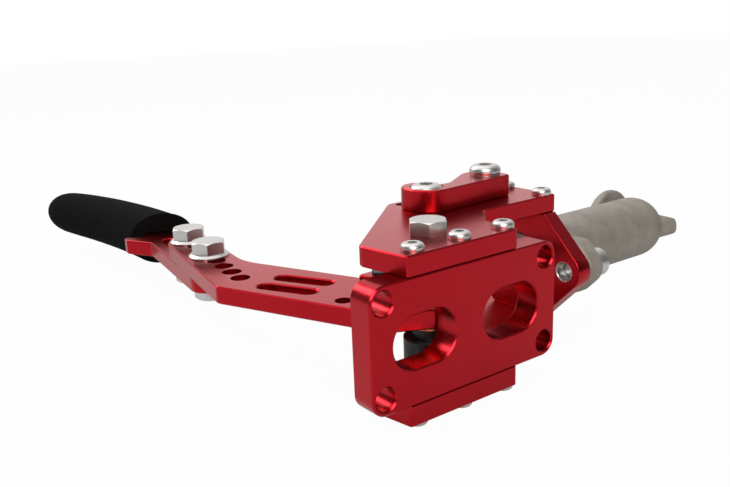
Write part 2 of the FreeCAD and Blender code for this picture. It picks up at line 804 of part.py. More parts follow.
def flange_plate():
    body = plate(flange_outline(flange_lobe, half_base), 0, flange_plate_thickness)
    body = break_edges(body, edge_break, [0, flange_plate_thickness])
    body = on_cylinder_axis(body, flange_inner_x)
    deep = flange_plate_thickness + 2
    start = flange_inner_x - 1
    body = body.cut(cylinder(spigot_radius + spigot_clearance, deep, Vector(start, rod_height, 0), ALONG_X))
    for y in cylinder_bolt_points():
        body = body.cut(thread_hole(cylinder_bolt_size, deep, Vector(start, y, 0), ALONG_X))
    for x, y in arm_screw_points():
        depth = button_length - side_thickness + 2
        body = body.cut(thread_hole(button_size, depth, Vector(x, y, half_base - depth)))
        body = body.cut(thread_hole(button_size, depth, Vector(x, y, -half_base)))
    return body


def cylinder_body():
    """The cast master cylinder: flange, barrel with a round end, outlet and inlet bosses."""
    flange = plate(flange_outline(flange_lobe, cylinder_radius + 4), 0, cylinder_flange)
    flange = flange.makeFillet(1.5, [edge for edge in flange.Edges
                                     if all(abs(v.Point.z - cylinder_flange) < 1e-4 for v in edge.Vertexes)])
    body = on_cylinder_axis(flange, flange_face_x)
    axis_start = Vector(flange_face_x, rod_height, 0)
    root = Part.makeCone(cylinder_radius + 3, cylinder_radius, 7,
                         axis_start + ALONG_X * cylinder_flange, ALONG_X)
    end = axis_start + ALONG_X * cylinder_length
    barrel = cylinder(cylinder_radius, cylinder_length, axis_start, ALONG_X)
    body = body.fuse(barrel).fuse(root).fuse(Part.makeSphere(cylinder_radius, end))
    way_out = Vector(math.cos(math.radians(outlet_turn)), -math.sin(math.radians(outlet_turn)), 0)
    outlet = Part.makeCone(outlet_root + 1.6, outlet_tip, outlet_reach, end, way_out)
    tip_edge = [edge for edge in outlet.Edges if edge.BoundBox.DiagonalLength < 2 * outlet_tip + 6
                and abs((edge.CenterOfMass - end).Length - outlet_reach) < 0.01]
    outlet = outlet.makeFillet(1.6, tip_edge)
    body = body.fuse(outlet)
    inlet_base = axis_start + ALONG_X * inlet_x
    inlet = cylinder(inlet_radius, inlet_reach, inlet_base, ALONG_Y)
    rim = [edge for edge in inlet.Edges if abs(edge.CenterOfMass.y - rod_height - inlet_reach) < 0.01]
    body = body.fuse(inlet.makeFillet(1.2, rim))
    spigot = cylinder(spigot_radius, flange_plate_thickness + 1,
                      Vector(flange_inner_x, rod_height, 0), ALONG_X)
    body = body.fuse(spigot).removeSplitter()
    mouth = Vector(flange_inner_x, rod_height, 0)
    body = body.cut(cylinder(bore_size / 2, bore_end_x - flange_inner_x, mouth, ALONG_X))
    body = body.cut(cylinder(bore_size / 2 + 1, 1.5, mouth + ALONG_X * 1.9, ALONG_X))
    inlet_top = inlet_base + ALONG_Y * inlet_reach
    body = body.cut(cylinder(inlet_face / 2, 4, inlet_top - ALONG_Y * 1.5, ALONG_Y))
    body = body.cut(cylinder(inlet_port / 2, 12, inlet_top - ALONG_Y * 11.5, ALONG_Y))
    body = body.cut(cylinder(feed_hole / 2, inlet_reach, inlet_base, ALONG_Y))
    body = body.cut(cylinder(outlet_port / 2, 12, end + way_out * (outlet_reach - 10), way_out))
    body = body.cut(cylinder(feed_hole / 2, outlet_reach, end, way_out))
    for y in cylinder_bolt_points():
        body = body.cut(cylinder(cylinder_bolt_size / 2 + 0.3, cylinder_flange + 2,
                                 Vector(flange_face_x - 1, y, 0), ALONG_X))
        body = body.cut(cylinder(flange_lobe, 6, Vector(cylinder_face_x, y, 0), ALONG_X))
    return body


def cylinder_bolt(y):
    """Hex bolt from the cylinder side, screwed through the flange plate."""
    seat = Vector(cylinder_face_x + 1.6, y, 0)
    length = 1.6 + cylinder_flange + flange_plate_thickness + 1.2
    radius = cylinder_bolt_size / 2 - thread_gap
    head = chamfered_hexagon(cylinder_bolt_flats, 5.4, seat, ALONG_X, turn=10)
    shank = turned_profile([(0, 0), (radius, 0), (radius, length - 0.9), (radius - 0.9, length),
                            (0, length)], seat, -ALONG_X)
    return head.fuse(shank).removeSplitter()


def cylinder_washer(y):
    base = Vector(cylinder_face_x, y, 0)
    outer = cylinder_bolt_size
    hole = cylinder(cylinder_bolt_size / 2 + 0.2, 4, base - ALONG_X, ALONG_X)
    return cylinder(outer, 1.6, base, ALONG_X).cut(hole)


def small_screws(points, upper):
    z = plate_top if upper else -plate_top
    direction = ALONG_Z if upper else -ALONG_Z
    return [button_screw(button_size, button_head, button_head_height, button_length,
                         Vector(x, y, z), direction) for x, y in points]


def strap_screw(x, y, seat_height):
    """A strap screw whose tip ends just above the side plate's inner face."""
    length = seat_height - half_base - 1
    return button_screw(strap_screw_size, strap_head, strap_head_height, length,
                        Vector(x, y, seat_height))


def write(name, solids):
    """Write one node, a single solid or a group of separate ones."""
    shape = solids[0] if len(solids) == 1 else Part.makeCompound(solids)
    shape.exportStep("parts/" + name + ".step")
    print(name, len(shape.Solids), "valid" if shape.isValid() else "NOT VALID", round(shape.Volume, 1))


def main():
    bolt_holes = (grip_bolt_hole_low, grip_bolt_hole_high)
    write("base_plate", [base_plate()])
    write("upper_side_plate", [side_plate(True)])
    write("lower_side_plate", [side_plate(False)])
    write("upper_base_screws", small_screws(foot_screw_points(), True))
    write("lower_base_screws", small_screws(foot_screw_points(), False))
    write("upper_arm_screws", small_screws(arm_screw_points(), True))
    write("lower_arm_screws", small_screws(arm_screw_points(), False))
    write("outer_strap", [outer_strap()])
    write("strap_front_screw", [strap_screw(strap_front_x, strap_front_y, strap_top - strap_recess)])
    write("strap_rear_screw", [strap_screw(strap_rear_x, strap_rear_y, strap_top)])
    write("pivot_bolt", [pivot_bolt()])
    write("pivot_sleeve", [pivot_sleeve()])
    write("upper_pivot_spacer", [pivot_spacer(True)])
    write("lower_pivot_spacer", [pivot_spacer(False)])
    write("lever_bar", [lever_bar()])
    write("upper_lever_bush", [lever_bush(True)])
    write("lower_lever_bush", [lever_bush(False)])
    write("grip_bar", [grip_bar()])
    write("grip_bolts", [grip_bolt(index) for index in bolt_holes])
    write("grip_nuts", [grip_nut(index) for index in bolt_holes])
    write("foam_grip", [foam_grip()])
    write("clevis", [clevis()])
    write("clevis_pin", [clevis_pin()])
    write("clevis_pin_clip", [pin_clip()])
    write("push_rod", [push_rod()])
    write("push_rod_nut", [rod_nut()])
    write("dust_boot", [dust_boot()])
    write("flange_plate", [flange_plate()])
    write("master_cylinder", [cylinder_body()])
    write("cylinder_bolts", [cylinder_bolt(y) for y in cylinder_bolt_points()])
    write("cylinder_washers", [cylinder_washer(y) for y in cylinder_bolt_points()])
    write("retaining_ring", [retaining_ring()])
    write("retaining_washer", [retaining_washer()])
    write("piston", [piston()])
    write("rear_piston_seal", [piston_seal(True)])
    write("front_piston_seal", [piston_seal(False)])
    write("return_spring", [return_spring()])


main()
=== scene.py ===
# %% [markdown]
# A hydraulic handbrake, dressed for a product picture.
# The shapes come from a CAD model that is already packed. It is loaded first and never moved.
# Everything below either gives its metal, rubber and foam a finish, or builds a piece anew:
# soft foam, folded rubber and a cut thread, which CAD solids show badly, and a few plates and
# the casting, whose forms were read more exactly after the CAD model was closed.

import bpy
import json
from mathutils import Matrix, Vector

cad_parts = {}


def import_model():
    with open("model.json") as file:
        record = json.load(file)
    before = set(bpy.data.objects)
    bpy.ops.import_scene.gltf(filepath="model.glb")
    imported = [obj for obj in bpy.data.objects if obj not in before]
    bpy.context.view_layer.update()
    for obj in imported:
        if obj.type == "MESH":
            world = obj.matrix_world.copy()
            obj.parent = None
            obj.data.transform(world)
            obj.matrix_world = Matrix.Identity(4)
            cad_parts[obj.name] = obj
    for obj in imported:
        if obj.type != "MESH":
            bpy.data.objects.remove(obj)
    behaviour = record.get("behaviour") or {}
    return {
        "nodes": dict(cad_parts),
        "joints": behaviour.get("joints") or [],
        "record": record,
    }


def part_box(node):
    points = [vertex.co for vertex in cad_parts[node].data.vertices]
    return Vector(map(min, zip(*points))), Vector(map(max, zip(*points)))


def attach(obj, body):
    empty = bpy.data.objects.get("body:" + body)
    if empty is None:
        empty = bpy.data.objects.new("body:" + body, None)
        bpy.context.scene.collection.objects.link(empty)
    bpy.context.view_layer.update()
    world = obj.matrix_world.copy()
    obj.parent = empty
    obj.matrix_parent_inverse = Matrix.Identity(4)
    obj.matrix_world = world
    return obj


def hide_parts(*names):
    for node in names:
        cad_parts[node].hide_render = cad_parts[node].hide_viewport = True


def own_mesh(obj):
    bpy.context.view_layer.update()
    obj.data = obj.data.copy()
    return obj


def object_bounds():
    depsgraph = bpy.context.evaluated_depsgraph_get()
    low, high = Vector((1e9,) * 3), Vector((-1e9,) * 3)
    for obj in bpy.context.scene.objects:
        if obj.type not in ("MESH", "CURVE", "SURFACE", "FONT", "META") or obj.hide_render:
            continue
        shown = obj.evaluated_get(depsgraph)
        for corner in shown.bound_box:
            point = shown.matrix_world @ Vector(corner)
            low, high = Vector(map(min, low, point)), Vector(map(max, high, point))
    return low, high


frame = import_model()
cad_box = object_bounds()
print("CAD box, lowest and highest corner in metres:", cad_box)

# %% [markdown]
# The other modules come next, with the one unit that the whole file uses.
# Blender works in metres and the handbrake was drawn in millimetres.

# %% Modules and units
import json
import math

import bmesh
import bpy
from mathutils import Matrix, Vector

MM = 0.001

# %% [markdown]
# A finish is a small graph of nodes, and most of it is arithmetic: rings around a bolt's axis,
# grain that fades, a mask turned inside out. Written node by node, such sums are hard to read.
# This class wraps one output of a node, so that ordinary Python signs add the nodes.
# Numbers go through Math nodes. Vectors go through Vector Math and colours through Mix,
# because a Math node would turn a colour grey.

# %% Sums made of nodes
class Socket:
    """One node output that can stand in a Python sum."""

    def __init__(self, finish, output):
        self.finish = finish
        self.output = output
        self.kind = output.type

    def combine(self, operation, other, flipped=False):
        first, second = (other, self) if flipped else (self, other)
        kinds = [value.kind for value in (first, second) if isinstance(value, Socket)]
        if "RGBA" in kinds:
            return self.finish.blend_colours(operation, first, second)
        if "VECTOR" in kinds:
            sides = [(value,) * 3 if isinstance(value, (int, float)) else value
                     for value in (first, second)]
            return self.finish.node("ShaderNodeVectorMath", {"operation": operation},
                                    {0: sides[0], 1: sides[1]})
        return self.finish.node("ShaderNodeMath", {"operation": operation}, {0: first, 1: second})

    def __add__(self, other):
        return self.combine("ADD", other)

    def __radd__(self, other):
        return self.combine("ADD", other, flipped=True)

    def __sub__(self, other):
        return self.combine("SUBTRACT", other)

    def __rsub__(self, other):
        return self.combine("SUBTRACT", other, flipped=True)

    def __mul__(self, other):
        return self.combine("MULTIPLY", other)

    def __rmul__(self, other):
        return self.combine("MULTIPLY", other, flipped=True)

    def __pow__(self, other):
        return self.combine("POWER", other)

    def __rpow__(self, other):
        return self.combine("POWER", other, flipped=True)

    def smaller(self, other):
        return self.combine("MINIMUM", other)

    def sine(self):
        return self.finish.node("ShaderNodeMath", {"operation": "SINE"}, {0: self})


print("Socket knows + - * and **, and smaller and sine")

# %% [markdown]
# The second class fills a tree of nodes, for a material or for the world. Its node method takes
# a node's type, then the settings that are set first, then the values or links of its sockets.

# %% A tree of nodes
class NodeTree:
    """An emptied node tree, and the one method that adds nodes to it."""

    def __init__(self, tree):
        self.tree = tree
        self.tree.nodes.clear()

    def connect(self, socket, value):
        if isinstance(value, Socket):
            self.tree.links.new(value.output, socket)
        else:
            socket.default_value = value

    def node(self, kind, settings=None, sockets=None, output=0):
        made = self.tree.nodes.new(kind)
        for name, value in (settings or {}).items():
            if name == "stops":
                for stop, (place, colour) in zip(made.color_ramp.elements, value):
                    stop.position = place
                    stop.color = colour
            else:
                setattr(made, name, value)
        for key, value in (sockets or {}).items():
            self.connect(made.inputs[key], value)
        return Socket(self, made.outputs[output])

    def outputs(self, kind, sockets=None):
        """Every output of a new node by its name, for a node with more than one of use."""
        made = self.node(kind, {}, sockets).output.node
        return {output.name: Socket(self, output) for output in made.outputs}

    def blend_colours(self, blend, first, second, amount=1.0):
        """Blend two colours with a Mix node; its colour sockets are numbers 6 and 7."""
        sides = [(value,) * 3 + (1.0,) if isinstance(value, (int, float)) else value
                 for value in (first, second)]
        return self.node("ShaderNodeMix", {"data_type": "RGBA", "blend_type": blend},
                         {0: amount, 6: sides[0], 7: sides[1]}, output=2)


print("NodeTree adds a node in one call")

# %% [markdown]
# A finish is one material around a single Principled shader. Places on a piece are read from
# Object coordinates. They stay with the piece when the lever swings, so the grain never slides
# over the metal.

# %% A material
class Finish(NodeTree):
    """One material, built from nodes around a single Principled shader."""

    def __init__(self, name):
        self.material = bpy.data.materials.new(name)
        self.material.use_nodes = True
        super().__init__(self.material.node_tree)
        self.shader = self.tree.nodes.new("ShaderNodeBsdfPrincipled")
        self.out = self.tree.nodes.new("ShaderNodeOutputMaterial")
        self.tree.links.new(self.shader.outputs[0], self.out.inputs[0])

    def place(self):
        """Where a point is on its own piece, in metres."""
        return self.node("ShaderNodeTexCoord", output=3)

    def noise(self, scale, detail=2.0, roughness=0.5, stretch=None):
        where = self.place()
        if stretch:
            where = where * stretch
        return self.node("ShaderNodeTexNoise", {}, {"Vector": where, "Scale": scale,
                                                    "Detail": detail, "Roughness": roughness})

    def between(self, amount, low, high):
        """A colour between two others, by an amount from 0 to 1."""
        return self.blend_colours("MIX", low, high, amount)

    def bump(self, height, depth, strength=1.0, below=None):
        sockets = {"Height": height, "Distance": depth, "Strength": strength}
        if below is not None:
            sockets["Normal"] = below
        return self.node("ShaderNodeBump", {}, sockets)

    def surface(self, **values):
        """Set the shader's sockets, with underscores for the spaces in their names."""
        for name, value in values.items():
            self.connect(self.shader.inputs[name.replace("_", " ")], value)
        return self.material


print("Finish makes a material from plain calls")

# %% [markdown]
# Most of the handbrake is aluminium with a red anodised skin. The dye sits in the metal's own
# oxide, so the colour is a metal's and not a paint's: deep red when seen square on, and paler and
# greyer at a glancing angle. A metallic shader does both by itself, and a thick clear coat would
# wash the red out, so the coat is only a trace. Cutter marks run along each plate, very fine
# grain roughens them, and the dye is never perfectly even, so its depth drifts a little.

# %% Red anodised aluminium
RED_DEEP = (0.41, 0.0085, 0.015, 1.0)
RED_LIGHT = (0.50, 0.012, 0.021, 1.0)


def red_anodised(name, lay):
    """Red anodised plate; lay stretches the cutter marks along one direction."""
    finish = Finish(name)
    dye = finish.noise(22.0, detail=3.0)
    blast = finish.noise(5200.0, detail=1.0)
    cutter = finish.noise(900.0, detail=2.0, stretch=lay)
    grain = finish.bump(blast, 0.00002, 0.35)
    grain = finish.bump(cutter, 0.00002, 0.30, below=grain)
    return finish.surface(
        Base_Color=finish.between(dye, RED_DEEP, RED_LIGHT),
        Metallic=1.0,
        Roughness=0.20 + cutter * 0.10 + blast * 0.05,
        Normal=grain,
        Coat_Weight=0.06,
        Coat_Roughness=0.12,
    )


red_plate_finish = red_anodised("red_anodised_plate", (1.0, 14.0, 14.0))
red_lever_finish = red_anodised("red_anodised_lever", (14.0, 1.0, 14.0))
print("made", red_plate_finish.name, "and", red_lever_finish.name)

# %% [markdown]
# The screws and bolts are stainless steel. A lathe leaves faint rings on each head, centred on
# the fastener's own axis. The distance from that axis is a sum of squares, and a sine of the
# distance gives the rings. A node that holds several screws takes the nearest axis.
# The list says how many screws a node holds, which way they point and how they are spread.

# %% Turned stainless steel
STEEL_LIGHT = (0.70, 0.68, 0.66, 1.0)
STEEL_DARK = (0.56, 0.545, 0.525, 1.0)


def axis_distance(finish, centre, along):
    """Distance from a line through centre; along is 0, 1 or 2 for X, Y or Z."""
    parts = list(finish.outputs("ShaderNodeSeparateXYZ", {0: finish.place()}).values())
    squares = [(parts[side] - centre[side]) ** 2.0 for side in range(3) if side != along]
    return (squares[0] + squares[1]) ** 0.5


def end_on(finish, along):
    """1 on faces square to the axis, where a lathe leaves rings, and 0 on the hexagon's flats."""
    normal = finish.node("ShaderNodeTexCoord", output=1)
    facing = finish.outputs("ShaderNodeSeparateXYZ", {0: normal})["XYZ"[along]]
    return facing ** 2.0


def turned_steel(name, centres, along):
    """Bright steel with lathe rings around each fastener's axis."""
    finish = Finish(name)
    distance = axis_distance(finish, centres[0], along)
    for centre in centres[1:]:
        distance = distance.smaller(axis_distance(finish, centre, along))
    rings = ((distance * 14000.0).sine() * 0.5 + 0.5) * end_on(finish, along)
    smear = finish.noise(260.0, detail=3.0)
    fine = finish.noise(4000.0, detail=1.0)
    skin = finish.bump(rings + fine * 0.5, 0.000006, 0.5)
    return finish.surface(
        Base_Color=finish.between(smear, STEEL_DARK, STEEL_LIGHT),
        Metallic=1.0,
        Roughness=0.30 + smear * 0.12 + rings * 0.05,
        Normal=skin,
    )


def centres_of(node, count, along, spread):
    """Axes of the equal fasteners in a node, evenly spaced along one direction."""
    low, high = [Vector(corner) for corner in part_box(node)]
    middle = (low + high) / 2
    if count == 1:
        return [middle]
    reach = (high[spread] - low[spread]) / 2
    width = (high[3 - along - spread] - low[3 - along - spread]) / 2
    places = []
    for index in range(count):
        centre = middle.copy()
        centre[spread] += (reach - width) * (2 * index / (count - 1) - 1)
        places.append(centre)
    return places


FASTENERS = {
    "upper_base_screws": (3, "ZX"), "lower_base_screws": (3, "ZX"),
    "upper_arm_screws": (2, "ZY"), "lower_arm_screws": (2, "ZY"),
    "strap_front_screw": (1, "ZX"), "strap_rear_screw": (1, "ZX"),
    "pivot_bolt": (1, "ZX"), "cylinder_bolts": (2, "XY"), "cylinder_washers": (2, "XY"),
    "push_rod_nut": (1, "XY"), "push_rod": (1, "XY"),
}
steel_finishes = {}
for node, (count, ways) in FASTENERS.items():
    along, spread = ["XYZ".index(way) for way in ways]
    centres = centres_of(node, count, along, spread)
    steel_finishes[node] = turned_steel("turned_" + node, centres, along)
print("made", len(steel_finishes), "steel finishes")

# %% [markdown]
# The two grip bolts stand on a slanted line, so an even spacing along one direction is not
# enough. They fill opposite corners of their node's box, so each axis lies one head's radius in
# from its corner. The same holds for their nuts.

# %% Steel of the grip bolts
HEAD_RADII = {"grip_bolts": 12.0 * MM, "grip_nuts": 9.3 * MM}


def slanted_pair(node, radius):
    """Axes of two equal fasteners that stand at opposite corners of their node's box."""
    low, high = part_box(node)
    return [Vector((low[0] + radius, low[1] + radius, 0)),
            Vector((high[0] - radius, high[1] - radius, 0))]


for node, radius in HEAD_RADII.items():
    axes = slanted_pair(node, radius)
    steel_finishes[node] = turned_steel("turned_" + node, axes, 2)
    print(node, "axes:", [tuple(round(value, 4) for value in axis) for axis in axes])

# %% [markdown]
# The master cylinder is a sand casting: warm grey, dull, with a skin like fine sandpaper and a
# few soft hollows where the mould was uneven. Two scales of noise make the skin, and a slow one
# varies the grey. It is only partly metallic, because its skin is oxide and not bare metal.

# %% Cast alloy
CAST_DARK = (0.165, 0.143, 0.121, 1.0)
CAST_LIGHT = (0.385, 0.345, 0.300, 1.0)


def cast_alloy():
    finish = Finish("cast_alloy")
    cloud = (finish.noise(75.0, detail=5.0, roughness=0.65) - 0.5) * 1.9 + 0.5
    sand = finish.noise(1500.0, detail=3.0, roughness=0.6)
    dents = finish.noise(320.0, detail=2.0)
    skin = finish.bump(sand, 0.00012, 0.6)
    skin = finish.bump(dents, 0.0002, 0.35, below=skin)
    return finish.surface(
        Base_Color=finish.between(cloud * 0.6 + sand * 0.4, CAST_DARK, CAST_LIGHT),
        Metallic=0.35,
        Roughness=0.52 + sand * 0.16,
        Normal=skin,
    )


cast_finish = cast_alloy()
print("made", cast_finish.name)

# %% [markdown]
# Some steel is blackened: the pivot's spacers and sleeve, and the clevis pin. The black oxide
# is thin and a little oily, so it is dark but still shines, and rubs through in small specks.

# %% Black oxide steel
OXIDE_BLACK = (0.012, 0.012, 0.014, 1.0)
OXIDE_WORN = (0.055, 0.053, 0.052, 1.0)


def black_oxide():
    finish = Finish("black_oxide_steel")
    rub = finish.noise(420.0, detail=5.0, roughness=0.65) ** 4.0
    fine = finish.noise(3000.0, detail=1.0)
    return finish.surface(
        Base_Color=finish.between(rub * 3.0, OXIDE_BLACK, OXIDE_WORN),
        Metallic=0.6,
        Roughness=0.30 + fine * 0.15,
        Normal=finish.bump(fine, 0.00002, 0.4),
    )


black_steel_finish = black_oxide()
print("made", black_steel_finish.name)

# %% [markdown]
# Inside the cylinder and at the pivot are a few plain metals: bearing bronze, spring wire and
# the machined piston. One function makes all three from a light and a dark colour, with fine
# marks whose direction comes from the stretch.

# %% Plain machined metals
def machined(name, dark, light, rough, stretch):
    finish = Finish(name)
    marks = finish.noise(1200.0, detail=2.0, stretch=stretch)
    return finish.surface(
        Base_Color=finish.between(marks, dark, light),
        Metallic=1.0,
        Roughness=rough + marks * 0.14,
        Normal=finish.bump(marks, 0.00002, 0.3),
    )


bronze_finish = machined("bearing_bronze", dark=(0.40, 0.23, 0.09, 1.0), light=(0.58, 0.37, 0.17, 1.0),
                         rough=0.28, stretch=(1, 1, 9))
spring_finish = machined("spring_wire", dark=(0.30, 0.30, 0.30, 1.0), light=(0.46, 0.46, 0.45, 1.0),
                         rough=0.25, stretch=(1, 6, 6))
piston_finish = machined("machined_piston", dark=(0.58, 0.58, 0.57, 1.0), light=(0.70, 0.70, 0.69, 1.0),
                         rough=0.20, stretch=(9, 1, 1))
print("made", bronze_finish.name, spring_finish.name, piston_finish.name)

# %% [markdown]
# Moulded rubber is nearly black and has a soft, waxy shine. Foam is blacker still, because light
# is lost in its fine surface. That surface is a field of tiny beads, which a cell pattern gives
# better than plain noise: the distance to a cell's edge becomes height, with a groove between.

# %% Rubber and foam
RUBBER_BLACK = (0.013, 0.013, 0.014, 1.0)
RUBBER_DUSTY = (0.030, 0.029, 0.028, 1.0)
FOAM_BLACK = (0.0022, 0.0022, 0.0023, 1.0)
FOAM_DUSTY = (0.0068, 0.0067, 0.0066, 1.0)


def moulded_rubber():
    finish = Finish("moulded_rubber")
    dust = finish.noise(140.0, detail=4.0)
    fine = finish.noise(2400.0)
    return finish.surface(
        Base_Color=finish.between(dust, RUBBER_BLACK, RUBBER_DUSTY),
        Roughness=0.48 + fine * 0.18,
        Normal=finish.bump(fine, 0.00003, 0.4),
    )


def closed_cell_foam():
    finish = Finish("closed_cell_foam")
    wobble = finish.noise(900.0, detail=2.0)
    cells = finish.node("ShaderNodeTexVoronoi", {"feature": "DISTANCE_TO_EDGE"},
                        {"Vector": finish.place(), "Scale": 1500.0})
    beads = (cells * 3.0 + wobble * 0.5).smaller(1.0)
    press = finish.noise(45.0, detail=2.0)
    skin = finish.bump(beads, 0.0002, 0.55)
    skin = finish.bump(press, 0.0006, 0.35, below=skin)
    return finish.surface(
        Base_Color=finish.between(beads * 0.55 + press * 0.45, FOAM_BLACK, FOAM_DUSTY),
        Roughness=0.84 + wobble * 0.12,
        Specular_IOR_Level=0.05,
        Normal=skin,
    )


rubber_finish = moulded_rubber()
foam_finish = closed_cell_foam()
print("made", rubber_finish.name, "and", foam_finish.name)

# %% [markdown]
# The record names a material slot for every piece, so the finishes are handed out by slot.
# Steel is the exception: each fastener has rings around its own axis.

# %% Give every CAD piece its finish
SLOT_FINISHES = {
    "red_plates": red_plate_finish, "red_lever": red_lever_finish,
    "cast_cylinder": cast_finish, "black_steel": black_steel_finish,
    "bush_bronze": bronze_finish, "spring_steel": spring_finish,
    "piston_alloy": piston_finish, "black_rubber": rubber_finish,
    "black_foam": foam_finish,
}
for entry in frame["record"]["subparts"]:
    node = frame["nodes"][entry["node"]]
    material = steel_finishes.get(entry["node"]) or SLOT_FINISHES[entry["material_slot"]]
    node.data.materials.clear()
    node.data.materials.append(material)

# %% [markdown]
# The next pieces are built here. Most of them are tubes of one kind or another: rings of points
# along a line, joined by faces. One helper does that. It closes the ends when asked, and it
# shades the result smooth, because foam, rubber and rolled threads have no hard edges.

# %% Rings of points into a mesh
def skin_rings(name, rings, close_start=False, close_end=False, loop=False):
    """A mesh through rings that all have the same number of points."""
    mesh = bmesh.new()
    rows = [[mesh.verts.new(point) for point in ring] for ring in rings]
    pairs = list(zip(rows, rows[1:]))
    if loop:
        pairs.append((rows[-1], rows[0]))
    for near, far in pairs:
        for index in range(len(near)):
            following = (index + 1) % len(near)
            mesh.faces.new((near[index], near[following], far[following], far[index]))
    if close_start:
        mesh.faces.new(list(reversed(rows[0])))
    if close_end:
        mesh.faces.new(rows[-1])
    for face in mesh.faces:
        face.smooth = True
    return new_piece(name, mesh)


def new_piece(name, mesh):
    """Turn a finished bmesh into an object in the scene."""
    bmesh.ops.recalc_face_normals(mesh, faces=mesh.faces)
    data = bpy.data.meshes.new(name)
    mesh.to_mesh(data)
    mesh.free()
    piece = bpy.data.objects.new(name, data)
    bpy.context.scene.collection.objects.link(piece)
    return piece


def dress(piece, material, body, node):
    """Give a new piece its finish and its body, and hide the solid it stands for."""
    piece.data.materials.append(material)
    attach(piece, body)
    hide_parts(node)
    print(piece.name, "has", len(piece.data.polygons), "faces and stands for", node)


print("ready to build tubes")

# %% [markdown]
# A few plates are rebuilt here, because their outlines were read more exactly from the
# photograph after the CAD model was closed. A milled plate is an outline with round corners, so
# its corners are listed as a drawing gives them: a place and a radius. The arcs are worked out.
# A hole runs clockwise, so that the metal is always on the left of a loop.

# %% Outlines with round corners
ARC_STEPS = 14


def rounded_outline(corners):
    """Points round an outline, from its (x, y, radius) corners in millimetres."""
    points = []
    for index, (x, y, radius) in enumerate(corners):
        corner = Vector((x, y))
        back = (Vector(corners[index - 1][:2]) - corner).normalized()
        ahead = (Vector(corners[(index + 1) % len(corners)][:2]) - corner).normalized()
        half = back.angle(ahead) / 2
        centre = corner + (back + ahead).normalized() * (radius / math.sin(half))
        start = corner + back * (radius / math.tan(half)) - centre
        turn = math.pi - 2 * half
        if back.x * ahead.y - back.y * ahead.x > 0:
            turn = -turn
        for step in range(ARC_STEPS + 1):
            points.append(centre + Matrix.Rotation(turn * step / ARC_STEPS, 2) @ start)
    return points


def round_hole(x, y, radius):
    return [Vector((x + radius * math.cos(-angle), y + radius * math.sin(-angle)))
            for angle in (2 * math.pi * step / 48 for step in range(48))]


def moved_in(loop, inset):
    """The same loop moved into the metal by a small distance."""
    moved = []
    for index, point in enumerate(loop):
        before = (point - loop[index - 1]).normalized()
        after = (loop[(index + 1) % len(loop)] - point).normalized()
        first, second = Vector((-before.y, before.x)), Vector((-after.y, after.x))
        middle = (first + second).normalized()
        moved.append(point + middle * (inset / max(middle.dot(first), 0.3)))
    return moved


print("a corner gets", ARC_STEPS, "steps")

# %% [markdown]
# The plate's walls are rows of points: a rounded edge, the wall, and the other rounded edge.
# The two flat faces are filled between the loops with triangles. They are shaded flat, because
# smooth shading would bend the light across a milled face.

# %% A milled plate
EDGE_STEPS = 3
LONG_WALL = 4.0


def edge_rows(edge, thickness):
    """(inset, height) of each row of points, from the bottom face to the top one."""
    near = []
    for step in range(EDGE_STEPS + 1):
        bend = math.pi / 2 * step / EDGE_STEPS
        near.append((edge * (1 - math.sin(bend)), edge * (1 - math.cos(bend))))
    return near + [(inset, thickness - height) for inset, height in reversed(near)]


def milled_plate(name, loops, thickness, edge, place, bare=()):
    """A plate from loops of points; place turns x, y and height into a point of the frame."""
    mesh = bmesh.new()
    rims = []
    for number, loop in enumerate(loops):
        rows = []
        for inset, height in edge_rows(edge, thickness):
            moved = moved_in(loop, inset)
            rows.append([mesh.verts.new(place(point.x, point.y, height)) for point in moved])
        for level, (low, high) in enumerate(zip(rows, rows[1:])):
            for index in range(len(loop)):
                ahead = (index + 1) % len(loop)
                wall = mesh.faces.new((low[index], low[ahead], high[ahead], high[index]))
                is_long = (loop[ahead] - loop[index]).length > LONG_WALL
                wall.smooth = not (is_long and level == EDGE_STEPS)
                wall.material_index = int(number in bare)
        for row in (rows[0], rows[-1]):
            rims.append([mesh.edges.get((row[index - 1], row[index])) for index in range(len(row))])
    for side in (rims[0::2], rims[1::2]):
        bmesh.ops.triangle_fill(mesh, use_beauty=True, edges=[line for rim in side for line in rim])
    return new_piece(name, mesh)


def lying_at(bottom):
    """A place function for plates that lie flat, from the height of their lower face."""
    return lambda x, y, height: (x * MM, y * MM, (bottom + height) * MM)


print("a plate's edge is rounded in", EDGE_STEPS, "steps")

# %% [markdown]
# The lower side plate is cut away behind the lever, where the upper one carries the strap. That
# is why the floor shows white through the left slot of the base plate.

# %% The lower side plate
PLATE_EDGE = 0.7
PLATE_THICKNESS = 10.0
PIVOT_HOLE = 5.0
SCREW_HOLE = 3.2
LOWER_PLATE_CORNERS = [(-37.0, 0, 1.5), (31.0, 0, 1.5), (32.0, 22.5, 4), (47.0, 38.64, 4),
                       (102.4, 38.64, 0.8), (102.4, 87.0, 4), (62.0, 87.0, 5), (-40.5, 21.0, 4)]
LOWER_PLATE_SCREWS = [(-28.0, 7.0), (0.0, 7.0), (28.0, 7.0), (97.4, 44.29), (97.4, 71.49)]
PIVOT = (-3.5, 25.0)


def lower_plate():
    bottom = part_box("lower_side_plate")[0][2] / MM
    loops = [rounded_outline(LOWER_PLATE_CORNERS), round_hole(*PIVOT, PIVOT_HOLE)]
    loops += [round_hole(x, y, SCREW_HOLE) for x, y in LOWER_PLATE_SCREWS]
    piece = milled_plate("cut_back_side_plate", loops, PLATE_THICKNESS, PLATE_EDGE / 2,
                         lying_at(bottom))
    dress(piece, red_plate_finish, "bracket", "lower_side_plate")


lower_plate()

# %% [markdown]
# The flange plate stands between the two arms and carries the cylinder. Its outline runs along
# the frame's Y and Z, so its place function puts the plate's thickness along X. The two tapped
# holes were cut after the anodising, so their walls are bare bright metal.

